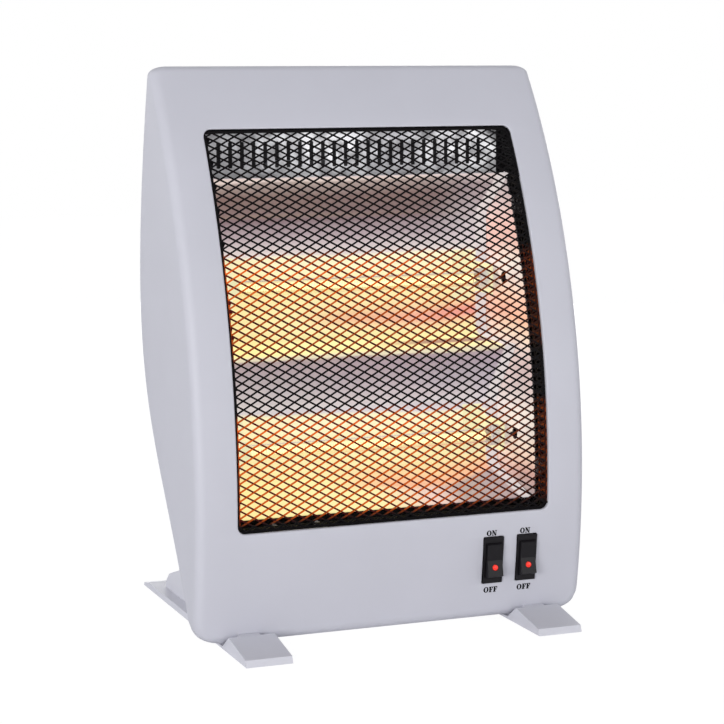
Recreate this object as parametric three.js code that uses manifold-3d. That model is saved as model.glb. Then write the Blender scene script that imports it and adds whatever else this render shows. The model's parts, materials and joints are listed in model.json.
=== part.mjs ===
// Free-standing two-tube quartz heater: a leaning almond-shaped housing on two strip feet.
// Millimetres. X runs to the right of someone facing the heater, Y to the rear, Z up.
// The origin lies on the floor, under the middle of the feet.
import * as THREE from "three";
import { mergeGeometries, mergeVertices } from "three/addons/utils/BufferGeometryUtils.js";
import Module from "manifold-3d";

const wasm = await Module();
wasm.setup();

// ---- driving dimensions ----------------------------------------------------------------

const fit = 0.3; // clearance between neighbouring pieces
const past = 1; // how far a cutting tool reaches past the surface it opens
const pilotSides = 8; // facets of screw holes
const boreSides = 12; // facets of other rods and bores
const tubeSides = 20; // facets of tubes, caps and other wide rounds

// Front opening and the wire guard in it
const openingWidth = 212;
const openingLow = 74.3;
const openingHigh = 321.3;
const openingCorner = 5;
const guardInset = 1.5; // guard face behind the housing's front face
const guardSheet = 1.2;
const guardDepth = 12;
const guardColumns = 6;
const guardRows = 12;
const guardStrand = 2;
const guardLeastGap = 2; // smallest part of a diamond that is cut at the border, in square mm

// Housing, seen from the side: two tip circles joined by a front arc and a fuller rear curve
const sideFrame = 26.5; // front face beside the opening
const bodyWidth = openingWidth + 2 * sideFrame;
const bodyLift = 3.5; // floor to the lowest point of the housing
const bodyTop = 361;
const toeY = -65.4; // centre of the lower tip circle
const toeRadius = 8;
const crownY = 11.8; // centre of the upper tip circle
const crownRadius = 7.5;
const frontRadius = 448;
const rearToeAngle = -29; // where the rear curve leaves the lower tip circle, degrees
const rearCrownAngle = 17;
const rearToePull = 140; // Bezier handle lengths of the rear curve
const rearCrownPull = 232;
const wall = 2.5;
const edgeRound = 6.5; // between the front or rear and the side walls
const cornerRound = 12.5; // the four corners seen from the front

// Rear cover
const coverSide = 9; // housing rim left beside the cover
const coverLow = 26; // arc length from the foot of the rear curve to the cover
const coverHigh = 26;
const coverLedge = 11; // rim of the housing that the cover screws down on
const ledgeSheet = 2.5;
const ledgeEnd = 8; // from the foot and head of the rear curve to the rim
const coverScrewEnd = 45; // from the cover's lower and upper edges to its screws
const coverScrewSeat = 1.6; // depth of the screw heads' seats in the cover
const ventRows = 7;
const ventPitch = 7;
const ventLength = 58;
const ventSlot = 2.6;
const ventColumnX = 42;
const upperVentZ = 205;
const lowerVentZ = 105;
const gripWidth = 96; // recessed carrying grip
const gripLow = 270;
const gripHigh = 298;
const gripFloorY = 20;
const gripReach = 40; // depth of the block that hollows the grip out
const inletX = 22;
const inletZ = 52;
const inletBore = 6.4;
const inletReach = 30;
const glandNut = 8.4; // radius of the gland's outer nut
const glandNutFrom = 4; // from the rear face to the nut
const glandNutLength = 3;
const glandNose = 5.4;
const glandNoseLength = 9;
const glandBore = 3.4;
const glandTail = 7; // inside the cover

// Reflector: one bent sheet with two troughs, between two end plates
const sheet = 0.8;
const endGap = 2; // inner face of each end plate inside the opening's side
const endPlateX = openingWidth / 2 - endGap;
const endPlateLow = 80;
const endPlateHigh = 292;
const endPlateRear = 3; // end plates' rear edge behind the reflector
const endPlateInset = 17; // front edge of the end plates behind the housing's front face
const upperTroughY = 13;
const lowerTroughY = -5;
const upperLip = [-23, 290];
const upperTroughHigh = 263;
const upperTroughLow = 180;
const ridge = [-36, 177]; // between the two troughs
const lowerTroughHigh = 139;
const lowerTroughLow = 93;
const lowerLip = [-60, 79.5];
const reflectorBend = 9;
const ridgeBend = 1.5;
const earWidth = 15;
const earHeight = 12;
const earScrew = 9; // from the end plate to the screw in its ear
const earWeb = 8; // depth of the fold that joins the ear to the end plate
const wireHole = 4;
const earHeights = [100, 270];
const bossRadius = 4;
const shieldY = -2; // slotted plate above the upper trough
const shieldHigh = 318;
const shieldReturn = 12;
const shieldSide = 12; // plain plate beside the slots
const shieldPitch = 7.9;
const shieldSlots = Math.floor((2 * (endPlateX - shieldSide)) / shieldPitch) + 1;
const shieldSlotWidth = 2.8;
const shieldSlotLow = 296;
const shieldSlotHigh = 312.8;

// Heating tubes
const upperTube = { y: -14, z: 220 };
const lowerTube = { y: -33, z: 117 };
const tubeRadius = 5;
const tubeBore = 4;
const tubeRoom = 14; // from the tube's end to the end plate
const tubeHalf = endPlateX - tubeRoom;
const elementRadius = 2.6;
const elementHalf = tubeHalf - 8;
const elementPin = 0.8; // straight lead from the element into the cap
const capRadius = 7;
const capGrip = 6; // length of tube inside the cap
const capInner = tubeHalf - capGrip;
const capLength = 14;
const capSocket = 8;
const holderX = tubeHalf + 2; // outer face of the holder's arm
const holderRim = 3; // of the arm around the cap
const holderWidth = 14;
const holderHeight = 34;

// Rocker switches
const switchX = [65.1, 41.4].map((fromSide) => bodyWidth / 2 - fromSide);
const switchZ = 43.2;
const bezelWidth = 13.6;
const bezelHeight = 30.8;
const bezelProud = 1.4;
const switchBodyWidth = 12.4;
const switchBodyHeight = 27;
const switchDepth = 19; // bezel's back to the rear of the body
const bezelSunk = 0.6; // back of the bezel behind the housing's front face
const rockerWidth = 10.4;
const rockerRadius = 11.6;
const rockerTilt = 10; // either side of level, degrees
const rockerValley = 3.7; // front of the rocker's middle from its pivot
const rockerBack = 6;
const rockerCorner = 28; // of the rocker's front corners from its upright, degrees
const rockerRoom = 3; // behind the rocker in its well
const pivotDepth = 1.5; // pivot behind the bezel's front
const pivotPin = 0.8;
const lensRadius = 1.8;
const lensDrop = 4.6; // lens below the rocker's middle
const lensProud = 0.4;
const lensDepth = 2;
const terminalDrops = [-7.2, 0.8, 8.8];
const terminalLength = 7;
const terminalWidth = 5;
const terminalRoot = 2; // length of a terminal inside the switch

// Feet
const footX = bodyWidth / 2 - 34.4;
const footWidth = 30;
const footLength = 231;
const footStrip = 4.3;
const footTail = 12; // tapered rear end of the strip
const wedgeTopY = -80.5;
const wedgeTopZ = 10.3;
const wedgeTipY = -113.8;
const wedgeTipZ = 4.3;
const notchFrontY = -67;
const notchRearY = -54;
const notchFloor = 1.5;
const cradleWidth = 14;
const cradleLow = 0.5; // underside of the cradle inside the strip
const cradleRear = [[88, 4.3], [85, 10.3], [79, 15.2], [72, 17.6]];
const cradleCrest = [-34, 49.5];
const footScrewY = [-64, -16];
const footScrewSeat = [1.2, 9];

// Screws
const screwShank = 1.5;
const screwHead = 3.2;
const screwHeadHeight = 2;
const screwLength = 9;
const earScrewLength = 6;

// Small gear inside the base
const cutoutX = -60;
const cutoutRadius = 8;
const cutoutHeight = 7;
const cutoutTab = 4; // of the tabs beside the disc
const blockX = 12;
const blockZ = 46;
const blockSize = [34, 11, 14];
const blockWell = 2.4; // radius of the wells over its screws
const blockPort = 1.6; // radius of the ports for its wires
const tiltX = -60;
const tiltPivotY = -59;
const tiltPivotZ = 64;
const tiltFrameWidth = 30;
const tiltFrameLow = 30;
const tiltFrameHigh = 74;
const tiltCheek = 1.5;
const tiltArm = 26;
const tiltWeight = 6;
const tiltPin = 1.5;
const tiltEar = 5; // of the frame's cheeks behind the pivot
const tiltArmSize = [3, 4];
const tiltWeightHalf = 8;
const microswitch = [8, 6, 10]; // on the side of the tilt frame
const microswitchZ = 59;
const wireRadius = 1.1;
const laneX = endPlateX + 13; // upright run of the wires between end plate and side wall

// ---- materials -------------------------------------------------------------------------

const paint = (color, roughness, metalness = 0) =>
  new THREE.MeshStandardMaterial({ color, roughness, metalness });
const housingPlastic = paint(0xc5c5cf, 0.5);
const footPlastic = paint(0xbababf, 0.5);
const guardPaint = paint(0x17171a, 0.45);
const mirrorSheet = paint(0xd9d6d2, 0.2, 1);
const bracketSteel = paint(0xc9c9cb, 0.35, 1);
const ceramic = paint(0xefece4, 0.6);
const quartz = paint(0xffe2b0, 0.1);
const filament = paint(0xff8a2a, 0.5);
const switchPlastic = paint(0x1b1b1e, 0.4);
const lensRed = paint(0xe02a1c, 0.2);
const brass = paint(0xc9a860, 0.35, 1);
const screwSteel = paint(0x9b9ca0, 0.35, 1);
const bakelite = paint(0x2c2622, 0.5);
const wireSleeve = paint(0x202022, 0.6);
const blockNylon = paint(0xe6e4dc, 0.5);

// ---- shape helpers ---------------------------------------------------------------------

const vec = (x, y) => new THREE.Vector2(x, y);

function toSolid(geometry) {
  const bare = new THREE.BufferGeometry();
  const flat = geometry.index ? geometry.toNonIndexed() : geometry;
  bare.setAttribute("position", flat.getAttribute("position"));
  const merged = mergeVertices(bare, 1e-4);
  return new wasm.Manifold(
    new wasm.Mesh({
      numProp: 3,
      vertProperties: merged.attributes.position.array,
      triVerts: new Uint32Array(merged.index.array),
    }),
  );
}

function toGeometry(solid) {
  const made = solid.getMesh();
  const geometry = new THREE.BufferGeometry();
  geometry.setAttribute("position", new THREE.BufferAttribute(made.vertProperties, 3));
  geometry.setIndex(new THREE.BufferAttribute(made.triVerts, 1));
  geometry.computeVertexNormals();
  return geometry;
}

const cut = (solid, ...tools) => tools.reduce((left, tool) => left.subtract(tool), solid);
const join = (...solids) => solids.reduce((left, solid) => left.add(solid));

// A side outline in (Y, Z), given depth along X and centred on x.
function sideways(points, width, x = 0, bevel = 0) {
  const geometry = new THREE.ExtrudeGeometry(new THREE.Shape(points), {
    depth: width - 2 * bevel,
    bevelEnabled: bevel > 0,
    bevelThickness: bevel,
    bevelSize: bevel,
    bevelOffset: -bevel,
    bevelSegments: 3,
  });
  geometry.translate(0, 0, bevel - width / 2);
  const sideAxes = new THREE.Matrix4().makeBasis(
    new THREE.Vector3(0, 1, 0),
    new THREE.Vector3(0, 0, 1),
    new THREE.Vector3(1, 0, 0),
  );
  return geometry.applyMatrix4(sideAxes).translate(x, 0, 0);
}

// A front outline in (X, Z), given depth towards the front from the plane y = rear.
function frontways(shape, rear, depth, curveSegments = 4) {
  const geometry = new THREE.ExtrudeGeometry(shape, { depth, bevelEnabled: false, curveSegments });
  const frontAxes = new THREE.Matrix4().makeBasis(
    new THREE.Vector3(1, 0, 0),
    new THREE.Vector3(0, 0, 1),
    new THREE.Vector3(0, -1, 0),
  );
  return geometry.applyMatrix4(frontAxes).translate(0, rear, 0);
}

function block(x, y, z, width, depth, height) {
  return new THREE.BoxGeometry(width, depth, height).translate(x, y, z);
}

// A rod along "x", "y" or "z" from one coordinate to another.
function rod(axis, radius, from, to, at, sides = boreSides) {
  const geometry = new THREE.CylinderGeometry(radius, radius, to - from, sides);
  geometry.translate(0, (from + to) / 2, 0);
  if (axis === "x") geometry.rotateZ(-Math.PI / 2);
  if (axis === "z") geometry.rotateX(Math.PI / 2);
  return geometry.translate(...at);
}

function roundedRectangle(width, low, high, corner, x = 0) {
  const left = x - width / 2;
  const right = x + width / 2;
  const shape = new THREE.Shape();
  shape.moveTo(left + corner, low);
  shape.lineTo(right - corner, low);
  shape.absarc(right - corner, low + corner, corner, -Math.PI / 2, 0);
  shape.lineTo(right, high - corner);
  shape.absarc(right - corner, high - corner, corner, 0, Math.PI / 2);
  shape.lineTo(left + corner, high);
  shape.absarc(left + corner, high - corner, corner, Math.PI / 2, Math.PI);
  shape.lineTo(left, low + corner);
  shape.absarc(left + corner, low + corner, corner, Math.PI, 1.5 * Math.PI);
  return shape;
}

// The line moved sideways by a distance, to its left when that is positive.
function offsetLine(points, distance) {
  return points.map((point, i) => {
    const before = points[Math.max(i - 1, 0)];
    const after = points[Math.min(i + 1, points.length - 1)];
    const a = i ? point.clone().sub(before).normalize() : after.clone().sub(point).normalize();
    const b = after === point ? a : after.clone().sub(point).normalize();
    const middle = a.clone().add(b).normalize();
    const stretch = 1 / Math.max(middle.dot(a), 0.3);
    return vec(-middle.y, middle.x).multiplyScalar(distance * stretch).add(point);
  });
}

// A polyline with its inner corners rounded by the given radii.
function roundedLine(corners, radii, steps = 4) {
  const points = [corners[0]];
  for (let i = 1; i < corners.length - 1; i++) {
    const toBefore = corners[i - 1].clone().sub(corners[i]).normalize();
    const toAfter = corners[i + 1].clone().sub(corners[i]).normalize();
    const reach = radii[i - 1] / Math.tan(Math.acos(toBefore.dot(toAfter)) / 2);
    const start = corners[i].clone().addScaledVector(toBefore, reach);
    const end = corners[i].clone().addScaledVector(toAfter, reach);
    points.push(...new THREE.QuadraticBezierCurve(start, corners[i], end).getPoints(steps));
  }
  points.push(corners[corners.length - 1]);
  return points;
}

const root = new THREE.Group();

function piece(name, shape, material, parent = root) {
  const made = new THREE.Mesh(shape.isBufferGeometry ? shape : toGeometry(shape), material);
  made.name = name;
  parent.add(made);
  return made;
}

// ---- the housing's side curves ---------------------------------------------------------

const frontReach = 160; // half the depth of tools that pass through the whole housing
const tipMargin = 0.05; // keeps such tools clear of the tip circles
const openingRearY = 40;
const panelSteps = 14; // facets along the front and rear curves
const tipSteps = 6;

const toe = vec(toeY, bodyLift + toeRadius);
const crown = vec(crownY, bodyTop - crownRadius);

// Centre of the front arc, which touches both tip circles from outside.
function frontArcCentre() {
  const toToe = frontRadius - toeRadius;
  const toCrown = frontRadius - crownRadius;
  const span = crown.clone().sub(toe);
  const along = (span.lengthSq() + toToe ** 2 - toCrown ** 2) / (2 * span.length());
  const aside = Math.sqrt(toToe ** 2 - along ** 2);
  const unit = span.normalize();
  return toe.clone().addScaledVector(unit, along).add(vec(unit.y, -unit.x).multiplyScalar(aside));
}

const arcCentre = frontArcCentre();
const toeAngle = Math.PI - Math.asin((toe.y - arcCentre.y) / (frontRadius - toeRadius));
const crownAngle = Math.PI - Math.asin((crown.y - arcCentre.y) / (frontRadius - crownRadius));
const degrees = THREE.MathUtils.degToRad;
const polar = (centre, radius, angle) =>
  vec(centre.x + radius * Math.cos(angle), centre.y + radius * Math.sin(angle));
const tangent = (angle) => vec(-Math.sin(angle), Math.cos(angle));

const rearFoot = polar(toe, toeRadius, degrees(rearToeAngle));
const rearHead = polar(crown, crownRadius, degrees(rearCrownAngle));
const rearCurve = new THREE.CubicBezierCurve(
  rearFoot,
  rearFoot.clone().addScaledVector(tangent(degrees(rearToeAngle)), rearToePull),
  rearHead.clone().addScaledVector(tangent(degrees(rearCrownAngle)), -rearCrownPull),
  rearHead,
);
const rearLength = rearCurve.getLength();

// A point of the front face: arc length up from the lower tip, and depth behind the face.
function onFront(length, depth) {
  return polar(arcCentre, frontRadius - depth, toeAngle - length / frontRadius);
}

// A point of the rear face: arc length up from the lower tip, and depth in front of the face.
function onRear(length, depth) {
  const share = length / rearLength;
  const along = rearCurve.getTangentAt(share);
  return rearCurve.getPointAt(share).add(vec(-along.y, along.x).multiplyScalar(depth));
}

const frontLengthAt = (z, depth = 0) =>
  (toeAngle - Math.PI + Math.asin((z - arcCentre.y) / (frontRadius - depth))) * frontRadius;
const frontYAt = (z, depth = 0) =>
  arcCentre.x - Math.sqrt((frontRadius - depth) ** 2 - (z - arcCentre.y) ** 2);

function stations(from, to, count) {
  return Array.from({ length: count + 1 }, (_, i) => from + ((to - from) * i) / count);
}

function rearYAt(z, depth = 0) {
  let low = 0;
  let high = rearLength;
  for (let i = 0; i < 40; i++) {
    const middle = (low + high) / 2;
    if (onRear(middle, depth).y < z) low = middle;
    else high = middle;
  }
  return onRear(low, depth).x;
}

// The closed side outline, moved inwards by an inset.
function housingOutline(inset) {
  const toeArc = stations(toeAngle, degrees(rearToeAngle) + 2 * Math.PI, tipSteps);
  const rear = stations(0, rearLength, panelSteps).slice(1, -1);
  const crownArc = stations(degrees(rearCrownAngle), crownAngle, tipSteps);
  const front = stations(crownAngle, toeAngle, panelSteps);
  return [
    ...toeArc.slice(1).map((angle) => polar(toe, toeRadius - inset, angle)),
    ...rear.map((length) => onRear(length, inset)),
    ...crownArc.slice(0, -1).map((angle) => polar(crown, crownRadius - inset, angle)),
    ...front.map((angle) => polar(arcCentre, frontRadius - inset, angle)),
  ];
}

function housingSolid(inset) {
  const loaf = toSolid(sideways(housingOutline(inset), bodyWidth - 2 * inset, 0, edgeRound - inset));
  const margin = inset - tipMargin;
  const front = roundedRectangle(
    bodyWidth - 2 * inset, bodyLift + margin, bodyTop - margin, cornerRound - inset);
  return loaf.intersect(toSolid(frontways(front, frontReach, 2 * frontReach)));
}

// What lies behind the opening's outline, moved inwards by an inset.
function openingPrism(inset) {
  const outline = roundedRectangle(
    openingWidth - 2 * inset, openingLow + inset, openingHigh - inset, openingCorner - inset);
  return toSolid(frontways(outline, openingRearY, frontReach));
}

// A curved slab under the front or rear face, between two arc lengths and two depths.
function curvedBand(onFace, lengths, outer, inner, width, x = 0) {
  const away = lengths.map((length) => onFace(length, outer));
  const near = lengths.map((length) => onFace(length, inner)).reverse();
  const points = [...away, ...near];
  if (THREE.ShapeUtils.isClockWise(points)) points.reverse();
  return toSolid(sideways(points, width, x));
}

// The switches' own frame: pivot at the origin, the bezel's front at y = -pivotDepth.
const bezelBack = bezelProud - pivotDepth;
const panelLength = frontLengthAt(switchZ);
const panelLean = toeAngle - panelLength / frontRadius - Math.PI;
const switchPivot = onFront(panelLength, bezelSunk - bezelBack);

function ontoPanel(x, geometry) {
  return geometry.rotateX(panelLean).translate(x, switchPivot.x, switchPivot.y);
}

// ---- housing ---------------------------------------------------------------------------

const coverFrom = coverLow;
const coverTo = rearLength - coverHigh;
const coverWidth = bodyWidth - 2 * coverSide;
const bossX = endPlateX + sheet + earScrew;
const coverScrewX = coverWidth / 2 - coverLedge / 2;
const coverScrewSpots = [coverFrom + coverScrewEnd, coverTo - coverScrewEnd].flatMap((length) =>
  [-coverScrewX, coverScrewX].map((x) => [x, length]));

function frontShell() {
  const outer = housingSolid(0);
  const ledge = curvedBand(
    onRear,
    stations(ledgeEnd, rearLength - ledgeEnd, panelSteps),
    wall / 2,
    wall + fit + ledgeSheet,
    bodyWidth,
  );
  const hollow = cut(housingSolid(wall), ledge);
  const seat = curvedBand(
    onRear, stations(coverFrom, coverTo, panelSteps), -4 * past, wall + fit, coverWidth);
  const window = curvedBand(
    onRear,
    stations(coverFrom + coverLedge, coverTo - coverLedge, panelSteps),
    0,
    3 * wall + ledgeSheet,
    coverWidth - 2 * coverLedge,
  );
  const frontSkin = curvedBand(
    onFront,
    stations(0, frontRadius * (toeAngle - crownAngle), panelSteps),
    -8 * past,
    wall + past,
    bodyWidth,
  );
  const bosses = [-bossX, bossX].flatMap((x) =>
    earHeights.map((z) =>
      toSolid(rod("y", bossRadius, frontYAt(z), frontYAt(z, endPlateInset) - fit, [x, 0, z]))));
  const pilots = [-bossX, bossX].flatMap((x) =>
    earHeights.map((z) => {
      const end = frontYAt(z, endPlateInset);
      return toSolid(rod("y", screwShank + fit, end - screwLength, end + past, [x, 0, z], pilotSides));
    }));
  const seatY = bezelBack + fit;
  const switchSeats = switchX.map((x) => toSolid(ontoPanel(x, block(
    0, seatY - switchDepth / 2, 0, bezelWidth + 2 * fit, switchDepth, bezelHeight + 2 * fit))));
  const switchHoles = switchX.map((x) => toSolid(ontoPanel(x, block(
    0, seatY, 0, switchBodyWidth + 2 * fit, switchDepth, switchBodyHeight + 2 * fit))));
  const coverPilots = coverScrewSpots.map(([x, length]) => screwBore(x, length, screwShank + fit));
  const footPilots = [-footX, footX].flatMap((x) =>
    footScrewY.map((y, i) =>
      toSolid(rod("z", screwShank + fit, 0, footScrewTop(i) + past, [x, y, 0], pilotSides))));
  const shell = cut(outer, hollow, seat, window, openingPrism(0).intersect(frontSkin));
  const bossSpace = housingSolid(wall / 2);
  const withBosses = join(shell, ...bosses.map((boss) => boss.intersect(bossSpace)));
  return cut(
    withBosses, ...pilots, ...switchSeats, ...switchHoles, ...coverPilots, ...footPilots);
}

// A hole square to the rear face, for a cover screw.
function screwBore(x, length, radius, depth = screwLength + 3 * past) {
  const start = onRear(length, -4 * past);
  const end = onRear(length, depth);
  const lean = Math.atan2(end.y - start.y, end.x - start.x);
  const bore = rod("y", radius, 0, depth + 4 * past, [0, 0, 0]);
  return toSolid(bore.rotateX(lean).translate(x, start.x, start.y));
}

function footScrewTop(i) {
  return footScrewSeat[i] + screwHeadHeight + screwLength;
}

function rearCover() {
  const panel = curvedBand(
    onRear, stations(coverFrom + fit, coverTo - fit, panelSteps), 0, wall, coverWidth - 2 * fit);
  const gripBlock = (thickness) => toSolid(block(
    0,
    gripFloorY - thickness + gripReach / 2,
    (gripLow + gripHigh) / 2,
    gripWidth + 2 * thickness,
    gripReach,
    gripHigh - gripLow + 2 * thickness,
  ));
  const vents = [upperVentZ, lowerVentZ].flatMap((from) =>
    stations(from, from + (ventRows - 1) * ventPitch, ventRows - 1).flatMap((z) =>
      [-ventColumnX, ventColumnX].map((x) =>
        toSolid(block(x, rearYAt(z), z, ventLength, 4 * wall, ventSlot)))));
  const bores = coverScrewSpots.flatMap(([x, length]) => [
    screwBore(x, length, screwShank + fit),
    screwBore(x, length, screwHead + fit, coverScrewSeat),
  ]);
  const inlet = toSolid(rod(
    "y", inletBore, -inletReach, inletReach, [inletX, rearYAt(inletZ), inletZ], tubeSides));
  const pocket = gripBlock(wall).intersect(housingSolid(0));
  return cut(join(panel, pocket), gripBlock(0), ...vents, ...bores, inlet);
}

piece("front_shell", frontShell(), housingPlastic);
piece("rear_cover", rearCover(), housingPlastic);

// ---- wire guard ------------------------------------------------------------------------

const guardWidth = openingWidth - 2 * fit;
const guardFrom = frontLengthAt(openingLow + fit);
const guardTo = frontLengthAt(openingHigh - fit);

// Keeps the part of a convex outline where keep(point) >= 0.
function clipped(points, keep) {
  return points.flatMap((point, i) => {
    const next = points[(i + 1) % points.length];
    const here = keep(point);
    const there = keep(next);
    const crossing = () => point.clone().lerp(next, here / (here - there));
    if (here >= 0) return there >= 0 ? [point] : [point, crossing()];
    return there >= 0 ? [crossing()] : [];
  });
}

// A prism through the guard's face, from an outline in (X, arc length).
function guardGap(outline) {
  const corners = outline.map((p) => {
    const front = onFront(p.y, guardInset - past);
    const back = onFront(p.y, guardInset + guardSheet + past);
    return [[p.x, front.x, front.y], [p.x, back.x, back.y]];
  });
  const count = corners.length;
  const positions = [];
  for (let i = 1; i < count - 1; i++) {
    positions.push(corners[0][0], corners[i][0], corners[i + 1][0]);
    positions.push(corners[0][1], corners[i + 1][1], corners[i][1]);
  }
  corners.forEach(([front, back], i) => {
    const [nextFront, nextBack] = corners[(i + 1) % count];
    positions.push(back, nextBack, nextFront, back, nextFront, front);
  });
  const gap = new THREE.BufferGeometry();
  gap.setAttribute("position", new THREE.Float32BufferAttribute(positions.flat(), 3));
  return gap;
}

const netBorder = guardSheet + guardStrand / 2;

// The guard's face is bent along every second row of diamonds.
function guardBends() {
  return stations(guardFrom + netBorder, guardTo - netBorder, guardRows / 2);
}

// Two staggered sets of diamonds, cut off at the guard's border.
function guardGaps() {
  const halfX = guardWidth / 2 - netBorder;
  const from = guardFrom + netBorder;
  const to = guardTo - netBorder;
  const a = halfX / guardColumns;
  const b = (to - from) / 2 / guardRows;
  const shrink = 1 - (guardStrand / 2) * Math.hypot(1 / a, 1 / b);
  const gaps = [];
  for (let row = 0; row <= 2 * guardRows; row++) {
    for (let column = 0; column <= 2 * guardColumns; column++) {
      if ((row + column) % 2) continue;
      const x = -halfX + column * a;
      const s = from + row * b;
      const diamond = [[-a, 0], [0, -b], [a, 0], [0, b]].map(([dx, ds]) =>
        vec(x + dx * shrink, s + ds * shrink));
      const edges = [
        (p) => p.x + halfX, (p) => halfX - p.x, (p) => p.y - from, (p) => to - p.y,
      ];
      const outline = edges.reduce(clipped, diamond);
      if (outline.length < 3 || THREE.ShapeUtils.area(outline) < guardLeastGap) continue;
      gaps.push(guardGap(outline));
    }
  }
  return gaps;
}

const gaps = guardGaps();

function guardMesh() {
  const bends = guardBends().slice(1, -1);
  const lengths = [guardFrom, ...bends, guardTo];
  const inside = [guardFrom + guardSheet, ...bends, guardTo - guardSheet];
  const rimDepth = guardInset + guardDepth;
  const tray = curvedBand(onFront, lengths, guardInset, rimDepth, guardWidth);
  const hollow = curvedBand(
    onFront,
    inside,
    guardInset + guardSheet,
    rimDepth + 5 * past,
    guardWidth - 2 * guardSheet,
  ).intersect(openingPrism(fit + guardSheet));
  return cut(tray.intersect(openingPrism(fit)), hollow, toSolid(mergeGeometries(gaps)));
}

piece("guard_mesh", guardMesh(), guardPaint);
console.log("guard gaps: " + gaps.length);

// ---- reflector -------------------------------------------------------------------------

const reflectorCorners = [
  vec(...upperLip),
  vec(upperTroughY, upperTroughHigh),
  vec(upperTroughY, upperTroughLow),
  vec(...ridge),
  vec(lowerTroughY, lowerTroughHigh),
  vec(lowerTroughY, lowerTroughLow),
  vec(...lowerLip),
];
const reflectorLine = roundedLine(
  reflectorCorners, [reflectorBend, reflectorBend, ridgeBend, reflectorBend, reflectorBend]);

function reflectorSheet() {
  const back = offsetLine(reflectorLine, sheet);
  const width = 2 * (endPlateX - fit);
  return sideways([...reflectorLine, ...back.reverse()].reverse(), width);
}

function endPlate(side) {
  const rear = offsetLine(reflectorLine, endPlateRear).slice(1, -1);
  const from = frontLengthAt(endPlateLow, endPlateInset);
  const to = frontLengthAt(endPlateHigh, endPlateInset);
  const front = stations(from, to, 10).map((length) => onFront(length, endPlateInset));
  const outline = [...front, ...rear];
  if (THREE.ShapeUtils.isClockWise(outline)) outline.reverse();
  const plate = toSolid(sideways(outline, sheet, side * (endPlateX + sheet / 2)));
  const ears = earHeights.map((z) => toSolid(block(
    side * (endPlateX + earWidth / 2),
    frontYAt(z, endPlateInset) + sheet / 2,
    z,
    earWidth,
    sheet,
    earHeight,
  )));
  const webs = earHeights.map((z) => toSolid(block(
    side * (endPlateX + sheet / 2),
    frontYAt(z, endPlateInset) + earWeb / 2,
    z,
    sheet,
    earWeb,
    earHeight,
  )));
  const holes = earHeights.map((z) => {
    const y = frontYAt(z, endPlateInset);
    const at = [side * bossX, 0, z];
    return toSolid(rod("y", screwShank + fit, y - past, y + sheet + past, at, pilotSides));
  });
  const middle = side * (endPlateX + sheet / 2);
  const wireHoles = [upperTube, lowerTube].map((tube) =>
    toSolid(rod("x", wireHole, middle - past, middle + past, [0, tube.y, tube.z])));
  return cut(join(plate, ...ears, ...webs), ...holes, ...wireHoles);
}

// Height of the upper trough's outer side where it passes under the slotted plate.
function shieldSeat() {
  const [lip, bend] = reflectorCorners;
  const slope = (bend.y - lip.y) / (bend.x - lip.x);
  return lip.y + slope * (shieldY - lip.x) + sheet * Math.hypot(1, slope) + fit;
}

function heatShield() {
  const width = 2 * (endPlateX - fit);
  const shieldLow = shieldSeat();
  const outline = [
    vec(shieldY, shieldLow),
    vec(shieldY, shieldHigh),
    vec(shieldY + shieldReturn, shieldHigh),
    vec(shieldY + shieldReturn, shieldHigh - sheet),
    vec(shieldY + sheet, shieldHigh - sheet),
    vec(shieldY + sheet, shieldLow),
  ].reverse();
  const first = -((shieldSlots - 1) * shieldPitch) / 2;
  const slots = stations(first, -first, shieldSlots - 1).map((x) => toSolid(frontways(
    roundedRectangle(shieldSlotWidth, shieldSlotLow, shieldSlotHigh, shieldSlotWidth / 4, x),
    shieldY + sheet + past,
    sheet + 2 * past,
    1,
  )));
  return cut(toSolid(sideways(outline, width)), ...slots);
}

piece("reflector", reflectorSheet(), mirrorSheet);
piece("end_plate_left", endPlate(-1), mirrorSheet);
piece("end_plate_right", endPlate(1), mirrorSheet);
piece("heat_shield", heatShield(), mirrorSheet);

// ---- heating tubes ---------------------------------------------------------------------

// A ring about the X axis from a closed outline in (radius, x).
function turnedAlongX(outline, sides = tubeSides) {
  const points = outline.map(([radius, x]) => vec(radius, x));
  return new THREE.LatheGeometry([...points, points[0]], sides).rotateZ(-Math.PI / 2);
}

function lampHolder(side, tube, troughY) {
  const seat = troughY - fit - sheet / 2;
  const base = toSolid(block(
    side * (holderX - holderWidth / 2), seat, tube.z, holderWidth, sheet, holderHeight));
  const reach = seat - (tube.y - capRadius - holderRim);
  const arm = toSolid(block(
    side * (holderX - sheet / 2),
    seat + sheet / 2 - reach / 2,
    tube.z,
    sheet,
    reach,
    2 * (capRadius + holderRim),
  ));
  const at = [side * holderX, tube.y, tube.z];
  const hole = toSolid(rod("x", capRadius + fit, -2 * sheet, 2 * sheet, at, tubeSides));
  return cut(join(base, arm), hole);
}

// Half outline of the heating element with its end pins, in (radius, x).
function elementOutline() {
  const pinEnd = capInner + capSocket - fit;
  return [
    [0, -pinEnd], [elementPin, -pinEnd], [elementPin, -elementHalf], [elementRadius, -elementHalf],
    [elementRadius, elementHalf], [elementPin, elementHalf], [elementPin, pinEnd], [0, pinEnd],
  ];
}

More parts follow.
